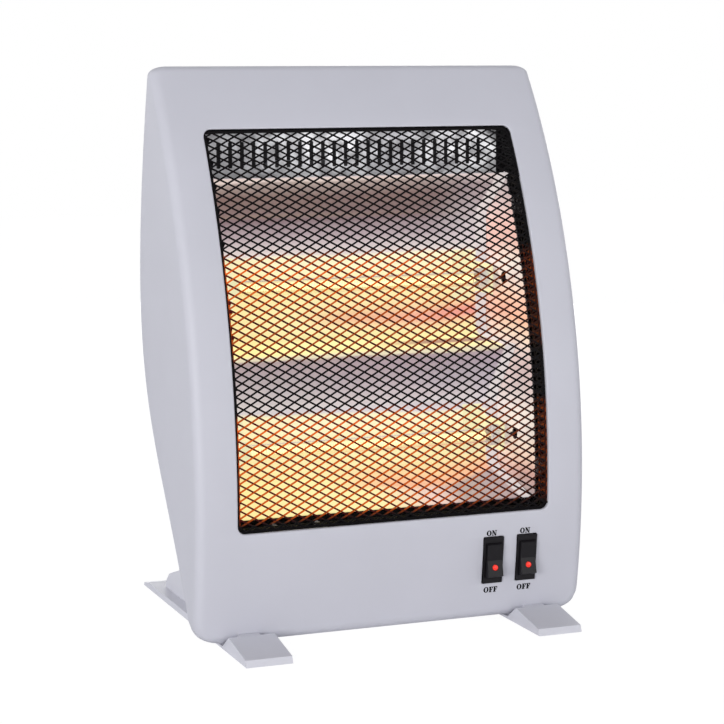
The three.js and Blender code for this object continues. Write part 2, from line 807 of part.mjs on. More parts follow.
function lamp(level, tube, troughY) {
  const group = new THREE.Group();
  group.position.set(0, tube.y, tube.z);
  root.add(group);
  const glass = [
    [tubeBore, -tubeHalf], [tubeRadius, -tubeHalf], [tubeRadius, tubeHalf], [tubeBore, tubeHalf],
  ];
  piece("quartz_tube_" + level, toSolid(turnedAlongX(glass)), quartz, group);
  piece(
    "heating_element_" + level,
    toSolid(turnedAlongX(elementOutline(), pilotSides)),
    filament,
    group,
  );
  for (const [sideName, side] of [["left", -1], ["right", 1]]) {
    const depth = capInner + capSocket;
    const end = capInner + capLength;
    const cap = [
      [tubeRadius + fit, capInner],
      [capRadius, capInner],
      [capRadius, end],
      [0, end],
      [0, depth],
      [tubeRadius + fit, depth],
    ];
    const turned = toSolid(turnedAlongX(cap));
    const made = piece("end_cap_" + level + "_" + sideName, turned, ceramic, group);
    if (side < 0) made.rotation.z = Math.PI;
    piece(
      "lamp_holder_" + level + "_" + sideName, lampHolder(side, tube, troughY), bracketSteel);
  }
}

lamp("upper", upperTube, upperTroughY);
lamp("lower", lowerTube, lowerTroughY);

// ---- rocker switches -------------------------------------------------------------------

function switchHousing() {
  const bezel = block(0, bezelBack - bezelProud / 2, 0, bezelWidth, bezelProud, bezelHeight);
  const rootDepth = bezelProud / 2; // the body starts inside the bezel
  const body = block(
    0,
    bezelBack + (switchDepth - rootDepth) / 2,
    0,
    switchBodyWidth,
    switchDepth + rootDepth,
    switchBodyHeight,
  );
  const cavity = block(
    0, 0, 0, rockerWidth + 2 * fit, 2 * (rockerBack + rockerRoom), 2 * (rockerRadius + fit));
  const holeHalf = switchBodyWidth / 2 + fit;
  const pinHole = rod("x", pivotPin + fit, -holeHalf, holeHalf, [0, 0, 0]);
  const slots = terminalDrops.map((z) => toSolid(block(
    0,
    bezelBack + switchDepth,
    z,
    terminalWidth + 2 * fit,
    2 * terminalRoot,
    sheet + 2 * fit,
  )));
  return cut(join(toSolid(bezel), toSolid(body)), toSolid(cavity), toSolid(pinHole), ...slots);
}

function rocker() {
  const end = degrees(rockerCorner);
  const corner = vec(-rockerRadius * Math.sin(end), rockerRadius * Math.cos(end));
  const front = [
    corner, vec(-rockerValley, 0), vec(corner.x, -corner.y),
  ];
  const backZ = Math.sqrt(rockerRadius ** 2 - rockerBack ** 2);
  const lower = new THREE.EllipseCurve(
    0, 0, rockerRadius, rockerRadius,
    Math.atan2(-corner.y, corner.x), Math.atan2(-backZ, rockerBack), false,
  ).getPoints(5).slice(1);
  const upper = lower.map((p) => vec(p.x, -p.y)).reverse();
  const outline = [...front, ...lower, ...upper];
  const body = sideways(outline, rockerWidth);
  const pinHalf = switchBodyWidth / 2 - fit;
  const pin = rod("x", pivotPin, -pinHalf, pinHalf, [0, 0, 0]);
  const lensSeat = rod("y", lensRadius + fit, -rockerRadius, lensFloor(), [0, 0, -lensDrop]);
  return cut(join(toSolid(body), toSolid(pin)), toSolid(lensSeat));
}

// Front face of the rocker's lower half at the lens, in the level rocker's own frame.
function lensFace() {
  return -rockerValley - lensDrop * Math.tan(degrees(rockerTilt));
}

function lensFloor() {
  return lensFace() + lensDepth;
}

function neonLens() {
  const front = lensFace() - lensProud;
  const dome = [
    [0, front - fit], [lensRadius / 2, front - fit / 2], [lensRadius, front + fit],
    [lensRadius, lensFloor() - fit], [0, lensFloor() - fit],
  ].map(([radius, y]) => vec(radius, y));
  return new THREE.LatheGeometry([...dome, dome[0]], boreSides).translate(0, 0, -lensDrop);
}

switchX.forEach((x, i) => {
  const sideName = i ? "right" : "left";
  const group = new THREE.Group();
  group.position.set(x, switchPivot.x, switchPivot.y);
  group.rotation.x = panelLean;
  root.add(group);
  piece("switch_housing_" + sideName, switchHousing(), switchPlastic, group);
  const rocking = new THREE.Group();
  rocking.rotation.x = -degrees(rockerTilt);
  group.add(rocking);
  piece("rocker_" + sideName, rocker(), switchPlastic, rocking);
  piece("neon_lens_" + sideName, toSolid(neonLens()), lensRed, rocking);
  terminalDrops.forEach((z, k) => {
    const length = terminalLength + terminalRoot - fit;
    const from = bezelBack + switchDepth - terminalRoot + fit;
    const tab = block(0, from + length / 2, z, terminalWidth, length, sheet);
    piece("switch_terminal_" + sideName + "_" + (k + 1), tab, brass, group);
  });
});

// ---- feet ------------------------------------------------------------------------------

function foot(side) {
  const half = footLength / 2;
  const strip = [
    vec(-half, 0), vec(half, 0), vec(half - 1, footStrip / 2), vec(half - footTail, footStrip),
    vec(notchRearY + 3, footStrip), vec(notchRearY, notchFloor), vec(notchFrontY, notchFloor),
    vec(wedgeTopY, wedgeTopZ), vec(wedgeTipY, wedgeTipZ),
  ];
  const cradle = [
    vec(wedgeTopY, cradleLow), vec(cradleRear[0][0], cradleLow),
    ...cradleRear.map((point) => vec(...point)),
    vec(...cradleCrest), vec(toeY, cradleCrest[1]), vec(toeY, wedgeTopZ),
    vec(wedgeTopY, wedgeTopZ - past),
  ];
  const x = side * footX;
  const bores = footScrewY.flatMap((y, i) => [
    toSolid(rod("z", screwShank + fit, -past, footScrewTop(i), [x, y, 0], pilotSides)),
    toSolid(rod("z", screwHead + fit, -past, footScrewSeat[i] + screwHeadHeight, [x, y, 0])),
  ]);
  const body = join(toSolid(sideways(strip, footWidth, x)), toSolid(sideways(cradle, cradleWidth, x)));
  return cut(body, housingSolid(-fit), ...bores);
}

piece("foot_left", foot(-1), footPlastic);
piece("foot_right", foot(1), footPlastic);

// ---- screws ----------------------------------------------------------------------------

// A pan-head screw whose shank starts at the origin and points along +Y, head behind it.
function screw(length = screwLength) {
  const profile = [
    [0, -screwHeadHeight], [screwHead * 0.7, -screwHeadHeight], [screwHead, -screwHeadHeight * 0.4],
    [screwHead, 0], [screwShank, 0], [screwShank, length - 1], [0, length],
  ].map(([radius, y]) => vec(radius, y));
  return toSolid(new THREE.LatheGeometry(profile, boreSides));
}

coverScrewSpots.forEach(([x, length], i) => {
  const seat = onRear(length, coverScrewSeat - fit);
  const deeper = onRear(length, coverScrewSeat + screwLength);
  const made = piece("cover_screw_" + (i + 1), screw(), screwSteel);
  made.position.set(x, seat.x, seat.y);
  made.rotation.x = Math.atan2(deeper.y - seat.y, deeper.x - seat.x);
});

[-footX, footX].forEach((x, side) =>
  footScrewY.forEach((y, i) => {
    const made = piece("foot_screw_" + (side ? "right_" : "left_") + (i + 1), screw(), screwSteel);
    made.position.set(x, y, footScrewSeat[i] + screwHeadHeight - fit);
    made.rotation.x = Math.PI / 2;
  }));

[-bossX, bossX].forEach((x, side) =>
  earHeights.forEach((z, i) => {
    const made = piece(
      "reflector_screw_" + (side ? "right_" : "left_") + (i + 1),
      screw(earScrewLength),
      screwSteel,
    );
    made.position.set(x, frontYAt(z, endPlateInset) + sheet + fit, z);
    made.rotation.x = Math.PI;
  }));

// ---- gear in the base ------------------------------------------------------------------

// Middle of the cut-out's tabs, which lie on its rear.
function cutoutTabY() {
  return upperTroughY + sheet + fit + cutoutHeight + sheet;
}

function thermalCutout() {
  const seat = upperTroughY + sheet + fit;
  const at = [cutoutX, 0, upperTube.z];
  const disc = toSolid(rod("y", cutoutRadius, seat, seat + cutoutHeight, at, tubeSides));
  const tabs = toSolid(block(
    cutoutX, cutoutTabY(), upperTube.z, 2 * (cutoutRadius + cutoutTab), 3 * sheet, terminalWidth));
  return join(disc, tabs);
}

function terminalBlock() {
  const [width, depth, height] = blockSize;
  const y = frontYAt(blockZ - height / 2, wall) + fit + depth / 2;
  const body = toSolid(block(blockX, y, blockZ, width, depth, height));
  const places = [-1, 0, 1].map((k) => blockX + (k * width) / 3);
  const wells = places.map((x) =>
    toSolid(rod("y", blockWell, y + past, y + depth, [x, 0, blockZ + blockWell])));
  const ports = places.map((x) =>
    toSolid(rod("z", blockPort, blockZ + height / 4, blockZ + height, [x, y, 0], pilotSides)));
  return cut(body, ...wells, ...ports);
}

function inletGland() {
  const y = rearYAt(inletZ);
  const nutEnd = glandNutFrom + glandNutLength;
  const noseEnd = glandNutFrom + glandNoseLength;
  const profile = [
    [glandBore, -glandTail], [inletBore - fit, -glandTail], [inletBore - fit, glandNutFrom],
    [glandNut, glandNutFrom], [glandNut, nutEnd], [glandNose, noseEnd], [glandBore, noseEnd],
  ].map(([radius, along]) => vec(radius, along));
  const ring = toSolid(new THREE.LatheGeometry([...profile, profile[0]], tubeSides));
  const placed = toGeometry(ring).translate(inletX, y, inletZ);
  return cut(toSolid(placed), coverSkinAround(inletX));
}

// The rear cover's own skin with a running gap, to cut a piece that passes through it.
function coverSkinAround(x) {
  const skin = curvedBand(
    onRear, stations(coverFrom, coverTo, panelSteps), -fit, wall + fit, 4 * inletBore, x);
  const bore = rod("y", inletBore, -frontReach, frontReach, [inletX, 0, inletZ], tubeSides);
  return cut(skin, toSolid(bore));
}

const tiltFrameY = frontYAt(tiltFrameLow, wall) + fit;

function tiltFrame() {
  const middle = (tiltFrameLow + tiltFrameHigh) / 2;
  const plate = toSolid(block(
    tiltX, tiltFrameY + tiltCheek / 2, middle, tiltFrameWidth, tiltCheek, tiltFrameHigh - tiltFrameLow));
  const depth = tiltPivotY + tiltEar - tiltFrameY;
  const cheeks = [-1, 1].map((side) => toSolid(block(
    tiltX + side * (tiltFrameWidth - tiltCheek) / 2,
    tiltFrameY + depth / 2,
    tiltPivotZ,
    tiltCheek,
    depth,
    2 * (tiltFrameHigh - tiltPivotZ),
  )));
  const at = [tiltX, tiltPivotY, tiltPivotZ];
  const hole = toSolid(rod("x", tiltPin + fit, -tiltFrameWidth, tiltFrameWidth, at));
  return cut(join(plate, ...cheeks), hole);
}

function tiltPendulum() {
  const halfPin = tiltFrameWidth / 2 - fit;
  const pin = toSolid(rod("x", tiltPin, -halfPin, halfPin, [0, 0, 0]));
  const arm = toSolid(block(0, 0, -tiltArm / 2, ...tiltArmSize, tiltArm));
  const at = [0, 0, -tiltArm];
  const bob = toSolid(rod("x", tiltWeight, -tiltWeightHalf, tiltWeightHalf, at, tubeSides));
  return join(pin, arm, bob);
}

piece("thermal_cutout", thermalCutout(), bakelite);
piece("terminal_block", terminalBlock(), blockNylon);
piece("inlet_gland", inletGland(), switchPlastic);
piece("tilt_switch_frame", tiltFrame(), blockNylon);
piece("tilt_pendulum", tiltPendulum(), screwSteel).position.set(tiltX, tiltPivotY, tiltPivotZ);
piece(
  "tilt_microswitch",
  block(
    tiltX + tiltFrameWidth / 2 + fit + microswitch[0] / 2,
    tiltFrameY + tiltCheek + microswitch[1] / 2,
    microswitchZ,
    ...microswitch,
  ),
  bakelite,
);

// ---- inner wires -----------------------------------------------------------------------

function wire(name, points) {
  const knots = points.map((p) => new THREE.Vector3(...p));
  const path = new THREE.CatmullRomCurve3(knots, false, "centripetal");
  const section = new THREE.Shape();
  section.absarc(0, 0, wireRadius, 0, 2 * Math.PI);
  const geometry = new THREE.ExtrudeGeometry(section, {
    steps: 2 * (points.length - 1), extrudePath: path, curveSegments: 3,
  });
  piece(name, geometry, wireSleeve);
}

const capEnd = capInner + capLength + fit;
const plateGap = endPlateX + sheet + 2;
const portZ = blockZ + blockSize[2] / 2 + fit;
const portY = frontYAt(blockZ - blockSize[2] / 2, wall) + fit + blockSize[1] / 2;
const portStep = blockSize[0] / 3;
const tabY = cutoutTabY();
const tabReach = cutoutRadius + cutoutTab + fit;
const [leftSwitch, rightSwitch] = switchX;
const { y: upperY, z: upperZ } = upperTube;
const { y: lowerY, z: lowerZ } = lowerTube;
const microX = tiltX + tiltFrameWidth / 2 + fit + microswitch[0] / 2;
const microY = tiltFrameY + tiltCheek + microswitch[1] / 2;
const microTop = microswitchZ + microswitch[2] / 2 + fit;
const microSide = microX + microswitch[0] / 2 + fit;

// A point behind a switch's middle (1) or top (2) terminal.
function behindTip(x, terminal, away = 0) {
  const local = vec(bezelBack + switchDepth + terminalLength + fit + away, terminalDrops[terminal]);
  const place = local.rotateAround(vec(0, 0), panelLean).add(switchPivot);
  return [x, place.x, place.y];
}

const topTip = behindTip(0, 2)[2];
const middleTip = behindTip(0, 1)[2];

wire("lead_wire_upper_right", [
  [capEnd, upperY, upperZ], [plateGap, upperY, upperZ], [laneX - 2, upperY, upperZ - 6],
  [laneX, upperY - 4, upperZ - 20], [laneX, -30, 140], [laneX, -48, 90], [laneX - 4, -50, 62],
  [rightSwitch + 10, -45, topTip + 2], [rightSwitch + 1, -43, topTip + 0.5],
  behindTip(rightSwitch, 2, 3), behindTip(rightSwitch, 2),
]);
wire("lead_wire_lower_right", [
  [capEnd, lowerY, lowerZ], [plateGap, lowerY, lowerZ], [laneX - 6, lowerY - 2, lowerZ - 7],
  [laneX - 6, -42, 90], [laneX - 12, -46, 72], [leftSwitch + 17, -46, 67],
  [leftSwitch + 2, -43, topTip + 4], behindTip(leftSwitch, 2, 4), behindTip(leftSwitch, 2),
]);
wire("lead_wire_upper_left", [
  [-capEnd, upperY, upperZ], [-plateGap, upperY, upperZ], [-laneX + 3, upperY + 3, upperZ + 2],
  [-laneX, 2, upperZ + 5], [-laneX + 4, 16, upperZ + 6], [-laneX + 19, tabY, upperZ + 5],
  [cutoutX - 20, tabY, upperZ + 1.6], [cutoutX - tabReach, tabY, upperZ + 1.4],
]);
wire("lead_wire_lower_left", [
  [-capEnd, lowerY, lowerZ], [-plateGap, lowerY, lowerZ], [-laneX + 6, lowerY + 5, lowerZ + 8],
  [-laneX + 5, -5, 160], [-laneX + 5, 14, 190], [-laneX + 9, 21, 205], [-laneX + 22, tabY, 214],
  [cutoutX - 20, tabY, upperZ - 1.6], [cutoutX - tabReach, tabY, upperZ - 1.4],
]);
wire("neutral_wire", [
  [cutoutX + tabReach, tabY, upperZ], [cutoutX + 18, tabY + 1, upperZ - 1],
  [cutoutX + 21, tabY + 4, upperZ - 8], [cutoutX + 15, 29, 204], [cutoutX - 15, 30, 200],
  [-laneX + 12, 28, 195], [-laneX - 3, 20, 178], [-laneX - 5, 0, 140], [-laneX - 4, -25, 100],
  [-laneX + 5, -46, 74], [tiltX - 25, -48, 69], [tiltX, -47, 68], [microX - 3, -52, microTop + 5],
  [microX, microY + 5, microTop + 6], [microX, microY, microTop + 3], [microX, microY, microTop],
]);
wire("tilt_wire", [
  [blockX - portStep, portY, portZ], [blockX - portStep, portY + 1, portZ + 6],
  [blockX - portStep - 12, -64, 63], [microSide + 10, microY + 1, microswitchZ + 1],
  [microSide, microY, microswitchZ],
]);
wire("supply_wire_left", [
  [blockX + portStep, portY, portZ], [blockX + portStep, portY + 3, portZ + 7], [blockX + 24, -56, 58],
  [leftSwitch - 12, -45, middleTip + 6], [leftSwitch - 3, -45, middleTip + 1.5],
  behindTip(leftSwitch, 1, 4), behindTip(leftSwitch, 1),
]);
wire("supply_wire_right", [
  [blockX, portY, portZ], [blockX, portY + 3, portZ + 8], [blockX + 18, -50, 63],
  [leftSwitch - 7, -36, 58], [rightSwitch - 9, -36, 54], [rightSwitch, -40, middleTip + 4],
  behindTip(rightSwitch, 1, 4), behindTip(rightSwitch, 1),
]);

export default root;
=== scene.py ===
"""A free-standing quartz heater with two lit tubes, seen from its left on a white ground.

Shapes are worked out in millimetres, in the frame's own axes: X to the right of someone
facing the heater, Y to the rear, Z up. MM turns them into the frame's metres.
"""

from bisect import bisect_left
from functools import lru_cache, partial, reduce
from itertools import product
import json
from math import asin, ceil, copysign, cos, degrees, hypot, pi, radians, sin, sqrt, tan

import bmesh
import bpy
from mathutils import Matrix, Vector


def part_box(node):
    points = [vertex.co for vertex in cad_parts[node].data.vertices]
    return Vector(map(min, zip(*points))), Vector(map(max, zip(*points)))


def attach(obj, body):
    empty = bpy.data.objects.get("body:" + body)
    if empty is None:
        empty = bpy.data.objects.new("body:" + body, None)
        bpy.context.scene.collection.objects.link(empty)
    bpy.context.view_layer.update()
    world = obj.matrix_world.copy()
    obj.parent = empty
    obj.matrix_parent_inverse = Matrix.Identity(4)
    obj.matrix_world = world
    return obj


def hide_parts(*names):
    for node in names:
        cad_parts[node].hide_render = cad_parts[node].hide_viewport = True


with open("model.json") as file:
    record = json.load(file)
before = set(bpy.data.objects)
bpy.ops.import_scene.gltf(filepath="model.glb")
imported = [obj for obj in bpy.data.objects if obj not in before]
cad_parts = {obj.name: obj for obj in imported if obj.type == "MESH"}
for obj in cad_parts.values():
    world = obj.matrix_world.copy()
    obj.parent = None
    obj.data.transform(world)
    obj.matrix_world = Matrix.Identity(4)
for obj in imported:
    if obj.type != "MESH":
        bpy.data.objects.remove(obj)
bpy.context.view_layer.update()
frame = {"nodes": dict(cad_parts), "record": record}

MM = 0.001

# ---- driving dimensions, in mm ----

WALL = 2.5
FIT = 0.3  # clearance between neighbouring pieces

# Side view of the housing: two tip circles, a front arc and a fuller rear curve
TOE = (-65.4, 11.5)
TOE_RADIUS = 8.0
CROWN = (11.8, 353.5)
CROWN_RADIUS = 7.39
FRONT_RADIUS = 448.0
REAR_TOE_ANGLE = -29.0
REAR_CROWN_ANGLE = 17.0
REAR_TOE_PULL = 140.0
REAR_CROWN_PULL = 232.0

HALF_WIDTH = 132.5
EDGE = 6.5  # rounding between the faces and the side walls
TOP_CORNER = 5.0  # further rounding of the corners seen from the front
FOOT_CORNER = 15.0
LOWEST = TOE[1] - TOE_RADIUS
HIGHEST = CROWN[1] + CROWN_RADIUS
TIP_LOW = 20.0  # heights between which every layer of the wall keeps its height
TIP_HIGH = 345.0

OPENING = (-106.0, 106.0, 74.3, 321.3, 5.0)  # left, right, low, high, corner radius
OPENING_LIP = 1.2
COVER_GAP = (-123.5, 123.5, 29.3, 331.8, 5.0)
COVER = (-123.2, 123.2, 29.6, 331.5, 4.7)
SEAM_LIP = 0.5

GUARD_FACE = 1.5  # depth of the guard's face behind the housing's
GUARD_SHEET = 0.8
GUARD_RIM = 13.5
GUARD_BEND = 1.0
NET_MARGIN = GUARD_BEND + 0.1  # plain border round the net
NET_PITCH = 9.35
NET_RISE = 5.44
NET_STRAND = 1.12
NET_CHAMFER = 0.2

# ---- camera ----

CAMERA_TARGET = (10.735, 8.4, 164.9)
CAMERA_DISTANCE = 1424.79
CAMERA_AZIMUTH = -21.207
CAMERA_ELEVATION = 7.6633
CAMERA_ROLL = -0.2724
CAMERA_LENS = 106.04


def give(thing, **settings):
    for key, value in settings.items():
        setattr(thing, key, value)
    return thing


def placed(name, data):
    """A new object in the scene."""
    made = bpy.data.objects.new(name, data)
    bpy.context.scene.collection.objects.link(made)
    return made


def turn_about(axis, degrees):
    return Matrix.Rotation(radians(degrees), 4, axis)


def make_camera():
    turn = turn_about("Z", CAMERA_AZIMUTH) @ turn_about("X", 90 - CAMERA_ELEVATION)
    place = Vector(CAMERA_TARGET) + turn @ Vector((0, 0, CAMERA_DISTANCE))
    data = bpy.data.cameras.new("photo_camera")
    give(data, lens=CAMERA_LENS, clip_start=0.05, clip_end=50)
    camera = placed("photo_camera", data)
    camera.matrix_world = Matrix.Translation(place * MM) @ turn @ turn_about("Z", CAMERA_ROLL)
    bpy.context.scene.camera = camera


make_camera()
bpy.context.scene.view_settings.view_transform = "Standard"

# ---- materials ----

NOISE_LOW, NOISE_HIGH = 0.3, 0.7  # a noise seldom leaves this range
RELIEF = 0.0002  # the bumps' greatest height, in metres
SLOW_NOISE = 18
TURNED = (-0.04, -0.01)  # from fully turned against an axis to not at all


class Nodes:
    """A node tree, with short calls for what the materials and the world share."""

    def __init__(self, tree):
        self.tree = tree

    def add(self, kind, **settings):
        return give(self.tree.nodes.new("ShaderNode" + kind), **settings)

    def feed(self, socket, value):
        """Links a socket to another one, or gives it a number or a colour."""
        if isinstance(value, bpy.types.NodeSocket):
            self.tree.links.new(value, socket)
        else:
            socket.default_value = (*value, 1) if socket.type == "RGBA" else value

    def set(self, node, **values):
        for key, value in values.items():
            self.feed(node.inputs[key.replace("_", " ")], value)
        return node

    def fill(self, node, *values):
        """Feeds a node's sockets in their order."""
        for socket, value in zip(node.inputs, values):
            self.feed(socket, value)
        return node

    def math(self, operation, *values):
        return self.fill(self.add("Math", operation=operation), *values).outputs[0]

    def times(self, *values):
        return reduce(partial(self.math, "MULTIPLY"), values)

    def split(self, vector):
        """A vector's parts along X, Y and Z."""
        return self.set(self.add("SeparateXYZ"), Vector=vector).outputs[:]

    def span(self, value, low, high, out_low=0.0, out_high=1.0, smooth=False, clamp=True):
        """A range of values laid over another."""
        node = self.add("MapRange", clamp=clamp)
        if smooth:
            node.interpolation_type = "SMOOTHSTEP"
        self.set(node, Value=value, From_Min=low, From_Max=high, To_Min=out_low, To_Max=out_high)
        return node.outputs["Result"]

    def over(self, place, low, high, *out, **how):
        """A stretch along an axis, in mm, laid over a range of values."""
        return self.span(place, low * MM, high * MM, *out, **how)

    def ramp(self, place, stops):
        """A ramp over places in mm, each with a colour or a grey in percent."""
        start, end = stops[0][0], stops[-1][0]
        node = self.add("ValToRGB")
        elements = node.color_ramp.elements
        while len(elements) < len(stops):
            elements.new(0.5)
        for element, (at, *color) in zip(elements, stops):
            element.position = (at - start) / (end - start)
            element.color = (*(level / 100 for level in (color * 3)[:3]), 1)
        return self.set(node, Fac=self.over(place, start, end)).outputs["Color"]

    def mix(self, factor, a, b):
        node = self.add("Mix", data_type="RGBA")
        for index, value in ((0, factor), (6, a), (7, b)):
            self.feed(node.inputs[index], value)
        return node.outputs[2]


class Surface(Nodes):
    """The node tree of a material."""

    def __init__(self, name):
        self.material = bpy.data.materials.new(name)
        self.material.use_nodes = True
        super().__init__(self.material.node_tree)
        self.shader = self.tree.nodes["Principled BSDF"]
        self.place = self.add("TexCoord").outputs["Object"]

    def normal(self):
        return self.split(self.add("NewGeometry").outputs["Normal"])

    def against(self, part):
        """1 where a part of the normal is negative, and 0 where it isn't."""
        return self.span(part, *TURNED, 1.0, 0.0)

    def noise(self, scale, along=1.0, detail=2.0):
        """A noise, drawn out along X where its scale there is below 1."""
        mapping = self.set(self.add("Mapping"), Vector=self.place, Scale=(along, 1, 1))
        noise = self.add("TexNoise")
        self.set(noise, Vector=mapping.outputs[0], Scale=scale, Detail=detail)
        return noise.outputs["Fac"]

    def spread(self, noise, low=0.0, high=1.0):
        return self.span(noise, NOISE_LOW, NOISE_HIGH, low, high)

    def dressed(self, relief, depth, **values):
        """The material, given its shader's values and a relief from a noise."""
        bump = self.set(self.add("Bump"), Strength=depth, Distance=RELIEF, Height=relief)
        self.set(self.shader, Normal=bump.outputs[0], **values)
        return self.material


def srgb(red, green, blue):
    """The linear colour of an 8-bit sRGB one."""
    return tuple(
        c / 255 / 12.92 if c <= 10 else ((c / 255 + 0.055) / 1.055) ** 2.4
        for c in (red, green, blue))


def shade(color, factor):
    return tuple(c * factor for c in color)


def grained(name, color, roughness=0.5, gloss=0.05, grain=2200, depth=0.25, metallic=0.0,
            drift=0.04, along=1.0, specular=0.5):
    """A surface with a fine grain in its relief and a slow drift in its tone."""
    nodes = Surface(name)
    tone = nodes.spread(nodes.noise(SLOW_NOISE))
    fine = nodes.noise(grain, along)
    return nodes.dressed(
        fine, depth,
        Base_Color=nodes.mix(tone, shade(color, 1 - drift), shade(color, 1 + drift)),
        Roughness=nodes.spread(fine, roughness - gloss, roughness + gloss),
        Metallic=metallic, Specular_IOR_Level=specular)


def lit(name, color, glow, strength=1.0, roughness=0.3, scale=400, metallic=0.0):
    """A surface that gives light, a little uneven along its length."""
    nodes = Surface(name)
    wander = nodes.noise(scale)
    return nodes.dressed(
        wander, 0.1,
        Base_Color=nodes.mix(wander, shade(color, 0.9), color),
        Metallic=metallic, Roughness=roughness,
        Emission_Color=nodes.mix(wander, shade(glow, 0.85), glow),
        Emission_Strength=strength)


def clear_quartz():
    nodes = Surface("quartz")
    wander = nodes.noise(90, along=0.2)
    return nodes.dressed(
        wander, 0.05,
        Base_Color=nodes.mix(wander, (1.0, 0.96, 0.88), (1.0, 0.99, 0.96)),
        Roughness=nodes.spread(wander, 0.02, 0.08),
        IOR=1.46, Transmission_Weight=1.0)


def glow_sheet():
    """Reflector sheet with the lit tubes' reflections painted on as emission in its two troughs.
    """
    nodes = Surface("mirror_glow")
    x, _, z = nodes.split(nodes.place)
    streak = nodes.noise(260, along=0.12, detail=3)
    height = nodes.math("ADD", z, nodes.spread(nodes.noise(14), -1.5 * MM, 1.5 * MM))
    from_left = nodes.over(x, -90, -30, smooth=True)
    yellow = nodes.mix(from_left, (0.86, 0.70, 0.27), (0.86, 0.75, 0.33))
    pale = nodes.mix(from_left, (0.86, 0.75, 0.39), (0.86, 0.80, 0.49))

    # the upper trough: painted reflection of the glow with a warm band and a painted shadow line
    # at the crease below it, then a grey slope of painted reflection up to a painted highlight on
    # the lip
    slope_left = nodes.ramp(height, [
        (237, 72, 64, 56), (239, 64, 55, 53), (244, 50, 42, 43), (251, 31, 23, 26),
        (259, 18, 11, 13), (268, 8, 3.5, 6), (277, 6, 1, 4.5), (283, 16, 11, 14),
        (287, 26, 20, 22), (288.5, 58, 48, 48), (290.5, 58, 48, 48)])
    slope_right = nodes.ramp(height, [
        (237, 72, 66, 60), (244, 56, 50, 53), (256, 50, 46, 48), (270, 30, 26, 29),
        (283, 22, 19, 22), (288.5, 54, 46, 46), (290.5, 54, 46, 46)])
    slope = nodes.mix(nodes.over(x, 55, 100, smooth=True), slope_left, slope_right)
    band_height = nodes.math("ADD", height, nodes.over(x, 60, 90, 0.0, -3.5 * MM))
    band = nodes.ramp(band_height, [
        (184, 0), (189, 55), (192, 100), (195.5, 100), (200, 45), (207, 12), (214, 0)])
    band = nodes.times(band, nodes.over(x, -45, 16, smooth=True))
    warm = nodes.mix(nodes.over(x, 20, 80), (0.76, 0.37, 0.18), (0.76, 0.26, 0.20))
    # a thin painted shadow line along the bend below the upper trough's glow
    crease_shadow = nodes.ramp(z, [(178, 0), (178.4, 100), (178.8, 100), (179.2, 0)])
    crease_shadow = nodes.times(crease_shadow, nodes.over(x, 10, 50))
    upper = nodes.mix(nodes.over(height, 210, 232), yellow, pale)
    upper = nodes.mix(band, upper, warm)
    upper = nodes.mix(crease_shadow, upper, (0.22, 0.10, 0.09))
    upper = nodes.mix(nodes.over(height, 235.5, 238), upper, slope)

    # between the troughs: greys and a yellow edge of painted reflection
    middle = nodes.ramp(height, [
        (128, 62, 56, 58), (138, 56, 52, 55), (143, 46, 42, 47), (151.5, 37, 33, 39),
        (160, 30, 26, 32), (169, 29, 22, 28), (174, 32, 24, 27), (175.5, 72, 64, 42),
        (178, 74, 66, 42)])

    # the lower trough, whose painted reflection of the glow ends on a slanting edge with a warm
    # painted rim to the right
    lower = nodes.mix(nodes.over(height, 98, 124), yellow, pale)
    above = nodes.math("SUBTRACT", height, nodes.over(x, 55, 95, 86.5 * MM, 91.2 * MM))
    below = nodes.mix(nodes.over(x, 0, 35), yellow, (0.72, 0.50, 0.44))
    below = nodes.mix(nodes.over(x, 42, 60), below, (0.32, 0.24, 0.25))
    rim = nodes.ramp(above, [(-2, 0), (-0.08, 100), (2.8, 80), (7.6, 25), (14, 0)])
    rim = nodes.times(rim, nodes.over(x, -35, 30, smooth=True))
    lower = nodes.mix(nodes.over(above, -1.2, 0.4), below, lower)
    lower = nodes.mix(rim, lower, (0.76, 0.34, 0.20))

    over_lower = nodes.math("SUBTRACT", height, nodes.over(x, -60, 90, 135.2 * MM, 129.2 * MM))
    shown = nodes.mix(nodes.over(over_lower, -1, 1.5), lower, middle)
    shown = nodes.mix(nodes.over(z, 177, 177.6), shown, upper)
    # a pale grey painted reflection over the sheet's right end
    shown = nodes.mix(nodes.over(x, 94.5, 96.5), shown, (0.58, 0.54, 0.54))
    return nodes.dressed(
        streak, 0.12,
        Base_Color=nodes.mix(nodes.spread(streak), (0.18, 0.17, 0.17), (0.23, 0.22, 0.22)),
        Metallic=0.4, Roughness=nodes.spread(streak, 0.28, 0.38),
        Emission_Color=shown,
        Emission_Strength=nodes.times(
            nodes.against(nodes.normal()[1]), nodes.spread(streak, 0.97, 1.03)))


def end_glow():
    """The bright end plates, with the light of the tubes painted on their inner faces as emission.
    """
    nodes = Surface("mirror_end")
    x, _, z = nodes.split(nodes.place)
    wander = nodes.noise(40)
    glow = nodes.ramp(nodes.math("ADD", z, nodes.spread(wander, -4 * MM, 4 * MM)), [
        (80, 18, 13, 14), (92, 50, 24, 20), (102, 72, 50, 40), (117, 74, 64, 57),
        (135, 72, 63, 60), (148, 52, 40, 38), (160, 58, 41, 39), (172, 70, 52, 46),
        (184, 78, 58, 46), (195, 80, 36, 24), (208, 80, 44, 32), (222, 76, 64, 58),
        (232, 76, 66, 62), (243, 76, 40, 32), (256, 78, 42, 34), (268, 66, 44, 40),
        (280, 36, 28, 29), (290, 28, 24, 26)])
    inner = nodes.against(nodes.times(x, nodes.normal()[0]))
    return nodes.dressed(
        wander, 0.1,
        Base_Color=nodes.mix(wander, (0.30, 0.28, 0.28), (0.36, 0.34, 0.34)),
        Metallic=0.4, Roughness=0.35,
        Emission_Color=glow,
        Emission_Strength=nodes.times(inner, nodes.spread(wander, 0.78, 0.95)))


